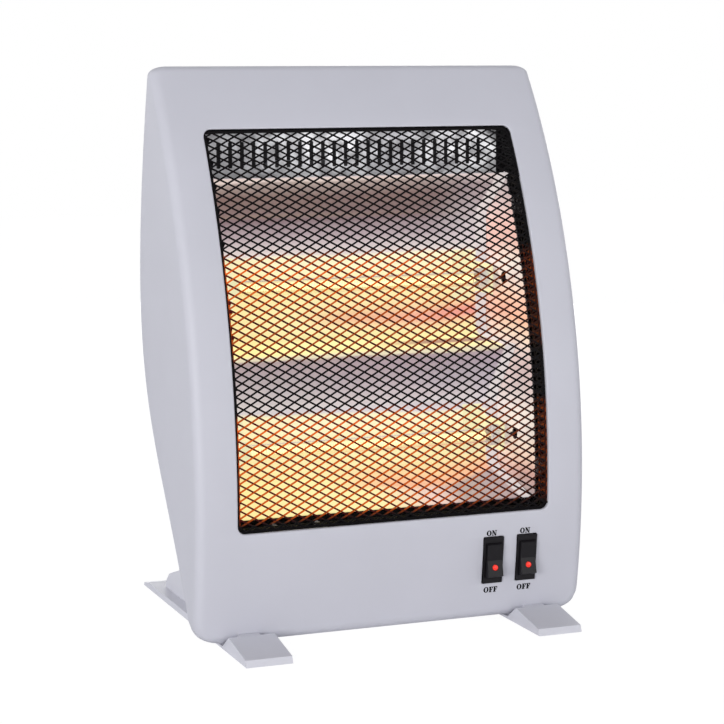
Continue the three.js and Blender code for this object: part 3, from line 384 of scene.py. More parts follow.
def shield_sheet():
    """The slotted sheet above the tubes, with broad soft reflections painted on as emission,
    broken into dull patches.
    """
    nodes = Surface("mirror_shield")
    x, _, z = nodes.split(nodes.place)
    shine = nodes.ramp(x, [
        (-104, 1, 1, 1), (-58.2, 22, 22, 23), (-12.5, 40, 40, 41), (33.3, 14, 14, 15),
        (62.4, 34, 34, 35), (104, 44, 44, 45)])
    streak = nodes.noise(240, along=0.15, detail=3)
    patches = nodes.span(nodes.noise(85), 0.36, 0.64, 0.15, 1.9)
    return nodes.dressed(
        streak, 0.12,
        Base_Color=nodes.mix(streak, (0.40, 0.39, 0.41), (0.48, 0.47, 0.49)),
        Metallic=0.6, Roughness=nodes.spread(streak, 0.3, 0.4),
        Emission_Color=shine,
        # painted shade: the painted reflections grow dimmer towards the sheet's lower edge
        Emission_Strength=nodes.times(nodes.over(z, 294, 306, 0.55, 1.0), patches))


METAL = dict(roughness=0.35, grain=900, depth=0.1, metallic=1.0)
GRAINED = {
    "housing_plastic": dict(color=srgb(198, 198, 207), drift=0.015),
    # painted shade for the housing's inner faces
    "housing_inside": dict(color=srgb(58, 56, 58), roughness=0.6, drift=0.05),
    # a lighter copy of the housing's grey, standing in for more light on the feet: painted light
    "foot_plastic": dict(color=srgb(211, 211, 219), drift=0.015),
    "guard_paint": dict(color=(0.006, 0.005, 0.006), grain=1600, depth=0.3),
    "mirror_sheet": dict(color=(0.82, 0.81, 0.81), roughness=0.24, grain=300, depth=0.12,
                         metallic=1.0, drift=0.03, along=0.1),
    "switch_plastic": dict(color=(0.010, 0.009, 0.011), roughness=0.4, grain=1800, depth=0.2,
                           specular=0.22),
    "brass": dict(METAL, color=(0.75, 0.58, 0.28)),
    "screw_steel": dict(METAL, color=(0.55, 0.55, 0.57)),
    "bakelite": dict(color=(0.03, 0.025, 0.02)),
    "wire_sleeve": dict(color=(0.016, 0.016, 0.018), roughness=0.55),
    "block_nylon": dict(color=(0.80, 0.78, 0.72)),
    "ink": dict(color=(0.003, 0.003, 0.004), roughness=0.6, grain=1200, depth=0.2, specular=0.08),
}
LIT = {
    # the lamp holders' bracket: the tubes' light painted on as emission
    "bracket_hot": dict(color=(0.30, 0.28, 0.26), glow=(0.76, 0.72, 0.40), roughness=0.35,
                        scale=120, metallic=0.5),
    # ceramic: a faint painted glow from the tubes; its copy below carries a strong one for the
    # left caps
    "ceramic": dict(color=(0.80, 0.78, 0.74), glow=(0.22, 0.19, 0.16), roughness=0.6, scale=1500),
    "ceramic_hot": dict(color=(0.30, 0.28, 0.24), glow=(0.76, 0.74, 0.42), roughness=0.6,
                        scale=1500),
    "filament": dict(color=(0.9, 0.6, 0.3), glow=(1.0, 0.92, 0.52), strength=1.15),
    "lens_red": dict(color=(0.7, 0.02, 0.015), glow=(1.0, 0.05, 0.025), strength=0.5,
                     roughness=0.15, scale=900),
}
LOOKS = {
    **{name: make(name, **values) for make, table in ((grained, GRAINED), (lit, LIT))
       for name, values in table.items()},
    "quartz": clear_quartz(),
    "glow_sheet": glow_sheet(),
    "end_glow": end_glow(),
    "shield_sheet": shield_sheet(),
}

# ---- meshes ----


class Net:
    """Faces on shared points, given in mm."""

    def __init__(self):
        self.points = []
        self.faces = []
        self.known = {}

    def point(self, place):
        key = tuple(round(c, 3) for c in place)
        if key not in self.known:
            self.known[key] = len(self.points)
            self.points.append(place)
        return self.known[key]

    def face(self, *places):
        corners = list(dict.fromkeys(map(self.point, places)))
        if len(corners) > 2:
            self.faces.append(corners)

    def strip(self, first, second, closed=False):
        """Quads between two lines of as many points."""
        count = len(first)
        for i in range(count if closed else count - 1):
            j = (i + 1) % count
            self.face(first[i], first[j], second[j], second[i])

    def loft(self, rings, closed=False):
        for first, second in zip(rings, rings[1:]):
            self.strip(first, second, closed)


def mesh_from(net, name):
    mesh = bpy.data.meshes.new(name)
    mesh.from_pydata([[c * MM for c in p] for p in net.points], [], net.faces)
    work = bmesh.new()
    work.from_mesh(mesh)
    bmesh.ops.recalc_face_normals(work, faces=work.faces)
    work.to_mesh(mesh)
    work.free()
    mesh.update()
    return mesh


def piece(name, net, look, body="housing", stands_for=(), angle=34.0):
    """One shown piece of the heater, riding on a body."""
    mesh = mesh_from(net, name) if isinstance(net, Net) else net
    mesh.shade_smooth()
    mesh.set_sharp_from_angle(angle=radians(angle))
    mesh.materials.clear()
    mesh.materials.append(LOOKS[look])
    made = placed(name, mesh)
    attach(made, body)
    if stands_for:
        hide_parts(*stands_for)
    return made


def cut(mesh, tool):
    """The mesh with the tool's volume taken away."""
    made, other = placed("work", mesh), placed("tool", tool)
    give(made.modifiers.new("cut", "BOOLEAN"),
         operation="DIFFERENCE", solver="MANIFOLD", object=other)
    shown = made.evaluated_get(bpy.context.evaluated_depsgraph_get())
    result = bpy.data.meshes.new_from_object(shown)
    bpy.data.objects.remove(other)
    bpy.data.objects.remove(made)
    return result


# ---- the housing's side curves ----


def arc(centre, radius, start, end, steps):
    """Points along an arc, each with its outward normal: (y, z, normal y, normal z)."""
    angles = [radians(start + (end - start) * i / steps) for i in range(steps + 1)]
    return [
        (centre[0] + radius * cos(a), centre[1] + radius * sin(a), cos(a), sin(a)) for a in angles]


def front_arc_centre():
    to_toe = FRONT_RADIUS - TOE_RADIUS
    to_crown = FRONT_RADIUS - CROWN_RADIUS
    span = Vector(CROWN) - Vector(TOE)
    along = (span.length_squared + to_toe ** 2 - to_crown ** 2) / (2 * span.length)
    aside = sqrt(to_toe ** 2 - along ** 2)
    unit = span.normalized()
    return Vector(TOE) + unit * along + Vector((unit.y, -unit.x)) * aside


ARC_CENTRE = front_arc_centre()


def meeting_angle(tip, radius):
    """Where a tip circle touches the front arc, in degrees."""
    return 180 - degrees(asin((tip[1] - ARC_CENTRE.y) / (FRONT_RADIUS - radius)))


TOE_ANGLE = meeting_angle(TOE, TOE_RADIUS)
CROWN_ANGLE = meeting_angle(CROWN, CROWN_RADIUS)
CURVE_STEPS = 160
TIP_SAMPLES = 60


def rear_curve():
    """The Bezier curve of the rear face, as (y, z, normal y, normal z)."""
    start = arc(TOE, TOE_RADIUS, REAR_TOE_ANGLE, REAR_TOE_ANGLE, 1)[0]
    end = arc(CROWN, CROWN_RADIUS, REAR_CROWN_ANGLE, REAR_CROWN_ANGLE, 1)[0]
    first, last = Vector(start[:2]), Vector(end[:2])
    rise = Vector((-start[3], start[2])) * REAR_TOE_PULL
    fall = Vector((-end[3], end[2])) * -REAR_CROWN_PULL
    a, b, c, d = first, first + rise, last + fall, last
    made = []
    for i in range(CURVE_STEPS + 1):
        t = i / CURVE_STEPS
        s = 1 - t
        place = a * s ** 3 + b * 3 * s * s * t + c * 3 * s * t * t + d * t ** 3
        way = ((b - a) * s * s + (c - b) * 2 * s * t + (d - c) * t * t).normalized()
        made.append((place.x, place.y, way.y, -way.x))
    return made


TIPS = {
    "front": ((TOE, TOE_RADIUS, 270, TOE_ANGLE), (CROWN, CROWN_RADIUS, CROWN_ANGLE, 90)),
    "rear": ((TOE, TOE_RADIUS, -90, REAR_TOE_ANGLE), (CROWN, CROWN_RADIUS, REAR_CROWN_ANGLE, 90)),
}
FACES = {
    "front": arc(ARC_CENTRE, FRONT_RADIUS, TOE_ANGLE, CROWN_ANGLE, CURVE_STEPS),
    "rear": rear_curve(),
}
LINES = {
    half: [*arc(*toe, TIP_SAMPLES), *FACES[half][1:], *arc(*crown, TIP_SAMPLES)[1:]]
    for half, (toe, crown) in TIPS.items()
}


@lru_cache(maxsize=None)
def layer(half, depth):
    """A side curve moved inwards by a depth, and its heights."""
    line = [(y - depth * ny, z - depth * nz, ny, nz) for y, z, ny, nz in LINES[half]]
    return line, [point[1] for point in line]


def curve_at(half, z, depth):
    """The curve's point and normal at a height, which closes up towards the tips inside."""
    if z < TIP_LOW:
        z = LOWEST + depth + (z - LOWEST) * (TIP_LOW - LOWEST - depth) / (TIP_LOW - LOWEST)
    elif z > TIP_HIGH:
        z = HIGHEST - depth - (HIGHEST - z) * (HIGHEST - depth - TIP_HIGH) / (HIGHEST - TIP_HIGH)
    line, heights = layer(half, round(depth, 4))
    i = min(max(bisect_left(heights, z), 1), len(line) - 1)
    below, above = line[i - 1], line[i]
    share = min(max((z - below[1]) / max(above[1] - below[1], 1e-9), 0.0), 1.0)
    y, z, ny, nz = (a + (b - a) * share for a, b in zip(below, above))
    size = hypot(ny, nz)
    return y, z, ny / size, nz / size


FLAT = HALF_WIDTH - EDGE  # half width of the unrounded face
ROLLED = FLAT + EDGE * pi / 2  # half width with the rounded edge laid flat


def half_width_at(z):
    for gap, corner in ((z - LOWEST, FOOT_CORNER), (HIGHEST - z, TOP_CORNER)):
        if gap < corner:
            return HALF_WIDTH - corner + sqrt(corner ** 2 - (corner - max(gap, 0)) ** 2)
    return HALF_WIDTH


def loaf(half, across, z, depth=0.0):
    """A point of the housing's front or rear face. Beyond FLAT it runs round the edge."""
    y, z_there, ny, nz = curve_at(half, z, depth)
    angle = max(abs(across) - FLAT, 0) / EDGE
    radius = EDGE - depth
    sink = radius * (1 - cos(angle))
    x = copysign(min(abs(across), FLAT) + radius * sin(angle), across)
    z_there -= sink * nz
    return x * half_width_at(z_there) / HALF_WIDTH, y - sink * ny, z_there


front_face = partial(loaf, "front")
rear_face = partial(loaf, "rear")


def front_at(length, depth=0.0):
    """(y, z) of the front face at an arc length up from the lower tip."""
    angle = radians(TOE_ANGLE) - length / FRONT_RADIUS
    radius = FRONT_RADIUS - depth
    return ARC_CENTRE.x + radius * cos(angle), ARC_CENTRE.y + radius * sin(angle)


def front_length(z):
    return FRONT_RADIUS * (radians(TOE_ANGLE) - pi + asin((z - ARC_CENTRE.y) / FRONT_RADIUS))


# ---- skins with rounded rectangular holes ----

CORNER_STEPS = 6
BEND_STEPS = 4
NUDGE = 1e-3


def right_angle(steps):
    """Even angles from 0 to a right angle."""
    return [pi / 2 * i / steps for i in range(steps + 1)]


def grid(fixed, step):
    """Grid lines through the fixed values, no further apart than the step."""
    fixed = sorted({round(value, 4) for value in fixed})
    made = []
    for a, b in zip(fixed, fixed[1:]):
        count = max(1, ceil((b - a) / step))
        made += [a + (b - a) * i / count for i in range(count)]
    return made + [fixed[-1]]


def grown(hole, by):
    left, right, low, high, corner = hole
    return left - by, right + by, low - by, high + by, corner + by


def hole_lines(holes):
    xs, zs = [], []
    for left, right, low, high, corner in holes:
        xs += [left, left + corner, right - corner, right]
        zs += [low, low + corner, high - corner, high]
    return xs, zs


def between(values, start, end):
    """The values that lie between two others, in order from the first to the second."""
    low, high = min(start, end) + NUDGE, max(start, end) - NUDGE
    inside = sorted(value for value in values if low < value < high)
    return inside if start < end else inside[::-1]


def quarter(hole, side, end, inset=0.0):
    """Points round one corner of a hole, from its vertical side to its level one."""
    left, right, low, high, corner = hole
    x = left + corner if side < 0 else right - corner
    z = low + corner if end < 0 else high - corner
    radius = corner - inset
    angles = right_angle(CORNER_STEPS)
    return [(x + side * radius * cos(a), z + end * radius * sin(a)) for a in angles]


def loop(hole, xs, zs, inset=0.0):
    """Points round a hole at the grid's lines, anticlockwise from its lower right corner."""
    left, right, low, high, corner = hole
    level = between(xs, left + corner, right - corner)
    upright = between(zs, low + corner, high - corner)
    return [
        *quarter(hole, 1, -1, inset)[::-1],
        *[(right - inset, z) for z in upright],
        *quarter(hole, 1, 1, inset),
        *[(x, high - inset) for x in level[::-1]],
        *quarter(hole, -1, 1, inset)[::-1],
        *[(left + inset, z) for z in upright[::-1]],
        *quarter(hole, -1, -1, inset),
        *[(x, low + inset) for x in level],
    ]


def skin(net, place, depths, xs, zs, holes=(), outline=None):
    """Covers a grid at each depth, apart from its holes and outside its rounded outline."""
    def in_hole(x, z):
        return any(left < x < right and low < z < high for left, right, low, high, _ in holes)

    def in_corner(x, z):
        left, right, low, high, corner = outline
        return min(x - left, right - x) < corner and min(z - low, high - z) < corner

    patches = []
    for (left, right), (low, high) in product(zip(xs, xs[1:]), zip(zs, zs[1:])):
        x, z = (left + right) / 2, (low + high) / 2
        if not in_hole(x, z) and not (outline and in_corner(x, z)):
            patches.append(((left, low), (right, low), (right, high), (left, high)))
    for shape in [*holes, *([outline] if outline else [])]:
        for side, end in product((-1, 1), repeat=2):
            patches.append(corner_polygon(shape, side, end, xs, zs, shape is outline))
    for depth in depths:
        for patch in patches:
            net.face(*[place(x, z, depth) for x, z in patch])


def corner_polygon(shape, side, end, xs, zs, is_outline):
    """What is left of a corner square: outside the curve for a hole, inside for an outline."""
    left, right, low, high, corner = shape
    outer_x, outer_z = (left if side < 0 else right), (low if end < 0 else high)
    inner_x, inner_z = outer_x - side * corner, outer_z - end * corner
    tip_x, tip_z = (inner_x, inner_z) if is_outline else (outer_x, outer_z)
    level = [(x, tip_z) for x in between(xs, inner_x, outer_x)]
    upright = [(tip_x, z) for z in between(zs, outer_z, inner_z)]
    there, back = (level, upright) if is_outline else (upright, level)
    return [(tip_x, tip_z), *there, *quarter(shape, side, end), *back]


def rings(net, place, hole, xs, zs, profile):
    """Joins the loops round a hole at each (inset, depth) of a profile."""
    net.loft(
        [[place(x, z, depth) for x, z in loop(hole, xs, zs, inset)] for inset, depth in profile],
        closed=True)


def bend(radius, sign=1):
    """A rounded edge down from a face, as (inset, depth)."""
    return [(sign * radius * sin(a), radius * (1 - cos(a))) for a in right_angle(BEND_STEPS)]


def lip(radius, sign=1):
    """A rounded edge, then a straight wall through the sheet."""
    return [*bend(radius, sign), (sign * radius, WALL), (0, WALL)]


# ---- housing ----

EDGE_STEPS = 7
SIDE_STEPS = 8
ROW_STEP = 7.0
COLUMN_STEP = 22.0
SWITCH_X = (67.4, 91.1)
SWITCH_LOW, SWITCH_HIGH = 27.7, 58.95
SEAT_HALF = 7.1
SEAT_CORNER = 0.6
TIP_STEPS = 8
TIP_ROW_GAP = 0.05


def hole_grid(holes):
    xs, zs = hole_lines(holes)
    return grid(xs, COLUMN_STEP), grid(zs, ROW_STEP)


def thinned(values, least):
    """The values in order, without those that follow another too closely."""
    made = []
    for value in sorted(values):
        if not made or value - made[-1] > least:
            made.append(value)
    return made


def front_shell():
    opening = grown(OPENING, OPENING_LIP)
    seats = [grown((x - SEAT_HALF, x + SEAT_HALF, SWITCH_LOW, SWITCH_HIGH, SEAT_CORNER), SEAM_LIP)
             for x in SWITCH_X]
    holes = {"front": [opening, *seats], "rear": [grown(COVER_GAP, SEAM_LIP)]}
    lines = {half: hole_lines(around) for half, around in holes.items()}
    tip_rows = [z for tips in TIPS.values() for tip in tips for _, z, _, _ in arc(*tip, TIP_STEPS)]
    zs = grid([*thinned(tip_rows, TIP_ROW_GAP), *lines["front"][1], *lines["rear"][1],
               TIP_LOW, TIP_HIGH], ROW_STEP)
    edge = [FLAT + EDGE * pi / 2 * i / EDGE_STEPS for i in range(EDGE_STEPS + 1)]
    columns = {
        half: sorted({*grid([*xs, -FLAT, FLAT], COLUMN_STEP), *edge, *[-x for x in edge]})
        for half, (xs, _) in lines.items()
    }
    net = Net()
    for half, around in holes.items():
        skin(net, partial(loaf, half), (0.0, WALL), columns[half], zs, around)
    for side in (-1, 1):
        for depth in (0.0, WALL):
            front, rear = (
                [Vector(loaf(half, side * ROLLED, z, depth)) for z in zs] for half in holes)
            net.loft([
                [a.lerp(b, i / SIDE_STEPS)[:] for a, b in zip(front, rear)]
                for i in range(SIDE_STEPS + 1)
            ])
    for half, around in holes.items():
        for hole in around:
            rings(net, partial(loaf, half), hole, columns[half], zs,
                  lip(OPENING_LIP if hole is opening else SEAM_LIP))
    return net


CORE_MARGIN = 15.0  # height of the core's ends within the housing's
CORE_SPREAD = 0.9  # share of the way from the middle plane at which the core follows a face
INWARD = -0.3


def darken_inside(shell):
    """Painted shade: a dark copy of the housing's grey for the faces that are turned to the
    housing's unlit core.
    """
    shell.data.materials.append(LOOKS["housing_inside"])
    for face in shell.data.polygons:
        place = face.center / MM
        z = min(max(place.z, LOWEST + CORE_MARGIN), HIGHEST - CORE_MARGIN)
        middle = (curve_at("front", z, 0)[0] + curve_at("rear", z, 0)[0]) / 2
        core = Vector((place.x * CORE_SPREAD, middle, z))
        if (place - core).normalized().dot(face.normal) < INWARD:
            face.material_index = 1


darken_inside(
    piece("front_shell_skin", front_shell(), "housing_plastic", stands_for=["front_shell"]))

VENT_HALF = 29.0
VENT_SLOT = 1.3
VENT_COLUMNS = (-42.0, 42.0)
VENT_ROWS = [low + 7.0 * i for low in (205.0, 105.0) for i in range(7)]
GRIP = (-48.0, 48.0, 270.0, 298.0, 4.0)
GRIP_FLOOR = 20.0
GRIP_LIP = 1.5
GRIP_FILLET = 2.0
INLET = (22.0, 52.0)
INLET_BORE = 6.4
BORE = 3.5
ROUND_END = 0.05  # straight part left between a hole's round corners, on each side


def screw_spots():
    """Centres of the cover screws' heads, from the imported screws."""
    boxes = [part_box(f"cover_screw_{k}") for k in range(1, 5)]
    return [((low.x + high.x) / 2 / MM, (low.z + high.z) / 2 / MM) for low, high in boxes]


def round_hole(x, z, half_width, half_height):
    """A hole with round ends about a centre."""
    return (x - half_width, x + half_width, z - half_height, z + half_height,
            half_height - ROUND_END)


def rear_cover():
    vents = [round_hole(x, z, VENT_HALF, VENT_SLOT) for x in VENT_COLUMNS for z in VENT_ROWS]
    grip = grown(GRIP, GRIP_LIP)
    inlet = round_hole(*INLET, INLET_BORE, INLET_BORE)
    bores = [round_hole(*spot, BORE, BORE) for spot in screw_spots()]
    holes = [*vents, grip, inlet, *bores]
    border = grown(COVER, -SEAM_LIP)
    xs, zs = hole_grid([*holes, border])
    net = Net()
    skin(net, rear_face, (0.0, WALL), xs, zs, holes, border)
    for hole in [*vents, inlet, *bores]:
        rings(net, rear_face, hole, xs, zs, [(0, 0), (0, WALL)])
    rings(net, rear_face, border, xs, zs, lip(SEAM_LIP, sign=-1))

    # the grip's recess, and the same outside the sheet
    recess = [
        [rear_face(x, z, depth) for x, z in loop(grip, xs, zs, inset)]
        for inset, depth in bend(GRIP_LIP)]
    for a in right_angle(BEND_STEPS):
        inset, y = GRIP_FILLET * (1 - cos(a)), GRIP_FLOOR + GRIP_FILLET * (1 - sin(a))
        recess.append([(x, y, z) for x, z in loop(grip, xs, zs, GRIP_LIP + inset)])
    outside = [
        [rear_face(x, z, WALL) for x, z in loop(grip, xs, zs)],
        [(x, GRIP_FLOOR - WALL, z) for x, z in loop(grip, xs, zs)],
    ]
    for walls in (recess, outside):
        net.loft(walls, closed=True)
        net.face(*walls[-1])
    return net


darken_inside(
    piece("rear_cover_skin", rear_cover(), "housing_plastic", stands_for=["rear_cover"]))

# ---- wire guard ----


def clipped(points, keep):
    """The part of a convex outline where keep(point) is not negative."""
    made = []
    for here, there in zip(points, points[1:] + points[:1]):
        a, b = keep(here), keep(there)
        if a >= 0:
            made.append(here)
        if (a >= 0) != (b >= 0):
            share = a / (a - b)
            made.append(tuple(p + (q - p) * share for p, q in zip(here, there)))
    return made


def outline_area(points):
    pairs = zip(points, points[1:] + points[:1])
    return sum(a[0] * b[1] - b[0] * a[1] for a, b in pairs) / 2


NET_LEFT = OPENING[0] + FIT + NET_MARGIN
NET_RIGHT = OPENING[1] - FIT - NET_MARGIN
NET_START = front_length(OPENING[2] + FIT) + NET_MARGIN
NET_END = front_length(OPENING[3] - FIT) - NET_MARGIN
RIM_MARGIN = 1.3
LEAST_GAP = 0.8  # area of the smallest gap that is cut
OVERCUT = 1.0
SHARPEST = 0.2  # limit to how far a sharp corner is pushed out


def cells(length, pitch):
    return max(1, round(length / pitch))


def diamonds(left, right, low, high, pitch, rise):
    """Staggered diamond gaps in a window, each less half a strand all round."""
    columns, rows = cells(right - left, pitch), cells(high - low, rise)
    a, b = (right - left) / columns / 2, (high - low) / rows / 2
    shrink = 1 - (NET_STRAND / 2) * hypot(1 / a, 1 / b)
    sides = (
        lambda p: p[0] - left, lambda p: right - p[0], lambda p: p[1] - low, lambda p: high - p[1])
    made = []
    for row in range(2 * rows + 1):
        for column in range(row % 2, 2 * columns + 1, 2):
            x, s = left + column * a, low + row * b
            shape = [
                (x - a * shrink, s), (x, s - b * shrink), (x + a * shrink, s), (x, s + b * shrink)]
            for keep in sides:
                shape = clipped(shape, keep)
            if len(shape) > 2 and outline_area(shape) > LEAST_GAP:
                made.append(shape)
    return made


def pushed(points, by):
    """A convex outline with its sides moved out by a distance."""
    made = []
    for i, (x, y) in enumerate(points):
        before, after = points[i - 1], points[(i + 1) % len(points)]
        a = Vector((x - before[0], y - before[1])).normalized()
        b = Vector((after[0] - x, after[1] - y)).normalized()
        out = Vector((a.y, -a.x)) + Vector((b.y, -b.x))
        scale = by * 2 / max(out.length_squared, SHARPEST)
        made.append((x + out.x * scale, y + out.y * scale))
    return made


def gap_prism(net, outline, place):
    """A tool through the sheet, flared towards both of its faces."""
    back = GUARD_FACE + GUARD_SHEET
    sections = [
        (NET_CHAMFER, GUARD_FACE - OVERCUT), (NET_CHAMFER, GUARD_FACE),
        (0, GUARD_FACE + NET_CHAMFER), (0, back - NET_CHAMFER),
        (NET_CHAMFER, back), (NET_CHAMFER, back + OVERCUT),
    ]
    loops = [[place(a, b, depth) for a, b in pushed(outline, out)] for out, depth in sections]
    net.face(*loops[0])
    net.loft(loops, closed=True)
    net.face(*loops[-1])


def guard_tray():
    outline = grown(OPENING, -FIT - GUARD_BEND)
    xs, zs = hole_grid([outline])
    back, inner = GUARD_FACE + GUARD_SHEET, GUARD_BEND - GUARD_SHEET
    profile = [
        *[(inset, GUARD_FACE + depth) for inset, depth in bend(GUARD_BEND, -1)],
        (-GUARD_BEND, GUARD_RIM), (-inner, GUARD_RIM),
        *[(inset, back + depth) for inset, depth in bend(inner, -1)[::-1]],
    ]
    net = Net()
    skin(net, front_face, (GUARD_FACE, back), xs, zs, outline=outline)
    rings(net, front_face, outline, xs, zs, profile)
    return net


def guard_gaps():
    left, right, low, high, _ = grown(OPENING, -FIT)
    front, rear = GUARD_FACE + GUARD_BEND, GUARD_RIM - RIM_MARGIN
    net = Net()
    for gap in diamonds(NET_LEFT, NET_RIGHT, NET_START, NET_END, NET_PITCH, NET_RISE):
        gap_prism(net, gap, lambda x, s, depth: (x, *front_at(s, depth)))
    for gap in diamonds(front, rear, NET_START, NET_END, rear - front, NET_RISE):
        for side, wall in ((-1, left), (1, right)):
            gap_prism(net, gap, lambda back, s, depth: (
                wall - side * (depth - GUARD_FACE), *front_at(s, back)))
    for gap in diamonds(NET_LEFT, NET_RIGHT, front, rear, NET_PITCH, rear - front):
        for end, wall in ((-1, low), (1, high)):
            gap_prism(net, gap, lambda x, back, depth: (
                x, front_face(x, wall, back)[1], wall - end * (depth - GUARD_FACE)))
    return net


def painted_glow_net():
    """Black paint on the guard, with the tubes' glow painted on as emission. In front of the
    tubes, the strands that rise to the right get a painted orange glow, and the others a dull red
    one."""
    nodes = Surface("guard_net")
    x, _, z = nodes.split(nodes.place)
    fine = nodes.noise(1600)

    # a point's place in the net, counted in half diamonds across and along the face
    width, length = NET_RIGHT - NET_LEFT, NET_END - NET_START
    half_pitch = width / cells(width, NET_PITCH) / 2
    half_rise = length / cells(length, NET_RISE) / 2
    radius = FRONT_RADIUS - GUARD_FACE
    turn = nodes.math("ARCSINE", nodes.over(
        z, ARC_CENTRE.y - radius, ARC_CENTRE.y + radius, -1.0, 1.0))
    foot = pi - radians(TOE_ANGLE)
    along = nodes.span(turn, foot, foot + 1, 0.0, FRONT_RADIUS, clamp=False)
    column = nodes.over(x, NET_LEFT, NET_LEFT + half_pitch, clamp=False)
    row = nodes.span(along, NET_START, NET_START + half_rise, clamp=False)
    falling, rising = (
        nodes.math("ABSOLUTE", nodes.math("SUBTRACT", nodes.math(
            "FLOORED_MODULO", nodes.math(kind, column, row), 2.0), 1.0))
        for kind in ("SUBTRACT", "ADD"))
    rises = nodes.span(nodes.math("SUBTRACT", rising, falling), -0.08, 0.08)

    bands = nodes.ramp(z, [
        (79, 0), (86, 80), (100, 75), (125, 85), (138, 100), (144, 70), (149, 0), (178, 0),
        (184, 30), (190, 50), (197, 50), (205, 50), (215, 70), (228, 90), (236, 95), (241, 50),
        (246, 0)])
    to_right = nodes.over(x, 15, 94, 1.0, 0.06)
    right_wall = nodes.over(x, 104.4, 105.0, 0.0, 0.3)
    left_wall = nodes.over(x, -104.9, -104.5)
    # painted glow light: bands in front of the tubes, fading to the right, stronger on faces
    # turned to the front
    strand_glow = nodes.times(
        bands, nodes.times(nodes.math("MAXIMUM", to_right, right_wall), left_wall),
        nodes.span(nodes.normal()[1], -0.5, 0.0, 1.0, 0.35))
    return nodes.dressed(
        fine, 0.3,
        Base_Color=nodes.mix(fine, (0.003, 0.0024, 0.003), (0.005, 0.004, 0.005)),
        Roughness=nodes.spread(fine, 0.5, 0.6),
        Specular_IOR_Level=0.08,
        Emission_Color=nodes.mix(rises, (0.11, 0.003, 0.001), (0.84, 0.13, 0.002)),
        Emission_Strength=strand_glow)


LOOKS["painted_glow_net"] = painted_glow_net()
guard = cut(mesh_from(guard_tray(), "guard_tray"), mesh_from(guard_gaps(), "guard_gaps"))
piece("guard_net", guard, "painted_glow_net", stands_for=["guard_mesh"])

# ---- reflector ----

REFLECTOR = [
    (-23, 290), (13, 263), (13, 180), (-36, 177), (-5, 139), (-5, 93), (-60, 79.5),
]
REFLECTOR_BENDS = [9, 9, 1.5, 9, 9]
REFLECTOR_SHEET = 0.8
REFLECTOR_HALF = 103.7


def bent_line(corners, bends, steps=10):
    """A line through the corners, with a circular bend at each one between its ends."""
    made = [Vector(corners[0])]
    for before, corner, after, radius in zip(corners, corners[1:], corners[2:], bends):
        corner = Vector(corner)
        back, on = (Vector(before) - corner).normalized(), (Vector(after) - corner).normalized()
        half = back.angle(on) / 2
        centre = corner + (back + on).normalized() * radius / sin(half)
        start = corner + back * radius / tan(half) - centre
        end = corner + on * radius / tan(half) - centre
        turn = start.angle_signed(end)
        for i in range(steps + 1):
            made.append(centre + Matrix.Rotation(-turn * i / steps, 2) @ start)
    return [*made, Vector(corners[-1])]


def moved_line(points, distance):
    """The line moved to its left by a distance."""
    made = []
    for i, point in enumerate(points):
        before, after = points[max(i - 1, 0)], points[min(i + 1, len(points) - 1)]
        way = (after - before).normalized()
        made.append(point + Vector((-way.y, way.x)) * distance)
    return made


def reflector():
    front = bent_line(REFLECTOR, REFLECTOR_BENDS)
    rear = moved_line(front, REFLECTOR_SHEET)
    outline = [*front, *rear[::-1]]
    net = Net()
    stations = [-REFLECTOR_HALF + 2 * REFLECTOR_HALF * i / 24 for i in range(25)]
    net.loft([[(x, p.x, p.y) for p in outline] for x in stations], closed=True)
    for x in (stations[0], stations[-1]):
        net.strip([(x, p.x, p.y) for p in front], [(x, p.x, p.y) for p in rear])
    return net


piece("reflector_sheet", reflector(), "glow_sheet", stands_for=["reflector"])

# ---- heating tubes ----

TUBES = {"upper": (-14.0, 220.0), "lower": (-33.0, 117.0)}
TUBE_HALF = 90.0
TUBE_RADIUS = 5.0
TUBE_BORE = 4.0
COIL_RADIUS = 2.2
COIL_WIRE = 0.4
COIL_PITCH = 1.75
COIL_HALF = 82.0
COIL_STEPS = 12  # points in each turn
COIL_SIDES = 6
COIL_LEAD = 3.0  # straight wire between the coil and its lead
CAP_INNER = 84.0
CAP_LENGTH = 14.0
CAP_LEAD = 6.0  # how far the lead reaches into a cap
CAP_SEAT = 8.0
CAP_RADIUS = 7.0


def circle(steps):
    """Even steps round a circle, as (cosine, sine)."""
    return [(cos(a), sin(a)) for a in (2 * pi * i / steps for i in range(steps))]


def turned(net, outline, place, sides=40):
    """A body turned about the X axis through a place, from a closed (radius, x) outline."""
    y, z = place
    loops = [
        [(x, y + radius * c, z + radius * s) for radius, x in outline] for c, s in circle(sides)
    ]
    net.loft([*loops, loops[0]], closed=True)


def swept(net, path, radius, sides):
    """A round wire along a path of points, closed at its ends."""
    loops, side = [], None
    for i, point in enumerate(path):
        way = (path[min(i + 1, len(path) - 1)] - path[max(i - 1, 0)]).normalized()
        side = (way.orthogonal() if side is None else side - way * side.dot(way)).normalized()
        other = way.cross(side)
        loops.append([tuple(point + (side * c + other * s) * radius) for c, s in circle(sides)])
    net.loft(loops, closed=True)
    net.face(*loops[0])
    net.face(*loops[-1])


def heating_coil(place):
    """A coiled wire along X, with a straight lead into each end cap."""
    y, z = place
    count = int(2 * COIL_HALF / COIL_PITCH * COIL_STEPS)
    ends = (CAP_INNER + CAP_LEAD, COIL_HALF + COIL_LEAD)
    path = [Vector((-x, y, z)) for x in ends]
    for i in range(count + 1):
        angle = 2 * pi * i / COIL_STEPS
        path.append(Vector((
            -COIL_HALF + 2 * COIL_HALF * i / count,
            y + COIL_RADIUS * cos(angle), z + COIL_RADIUS * sin(angle))))
    path += [Vector((x, y, z)) for x in ends[::-1]]
    net = Net()
    swept(net, path, COIL_WIRE, COIL_SIDES)
    return net


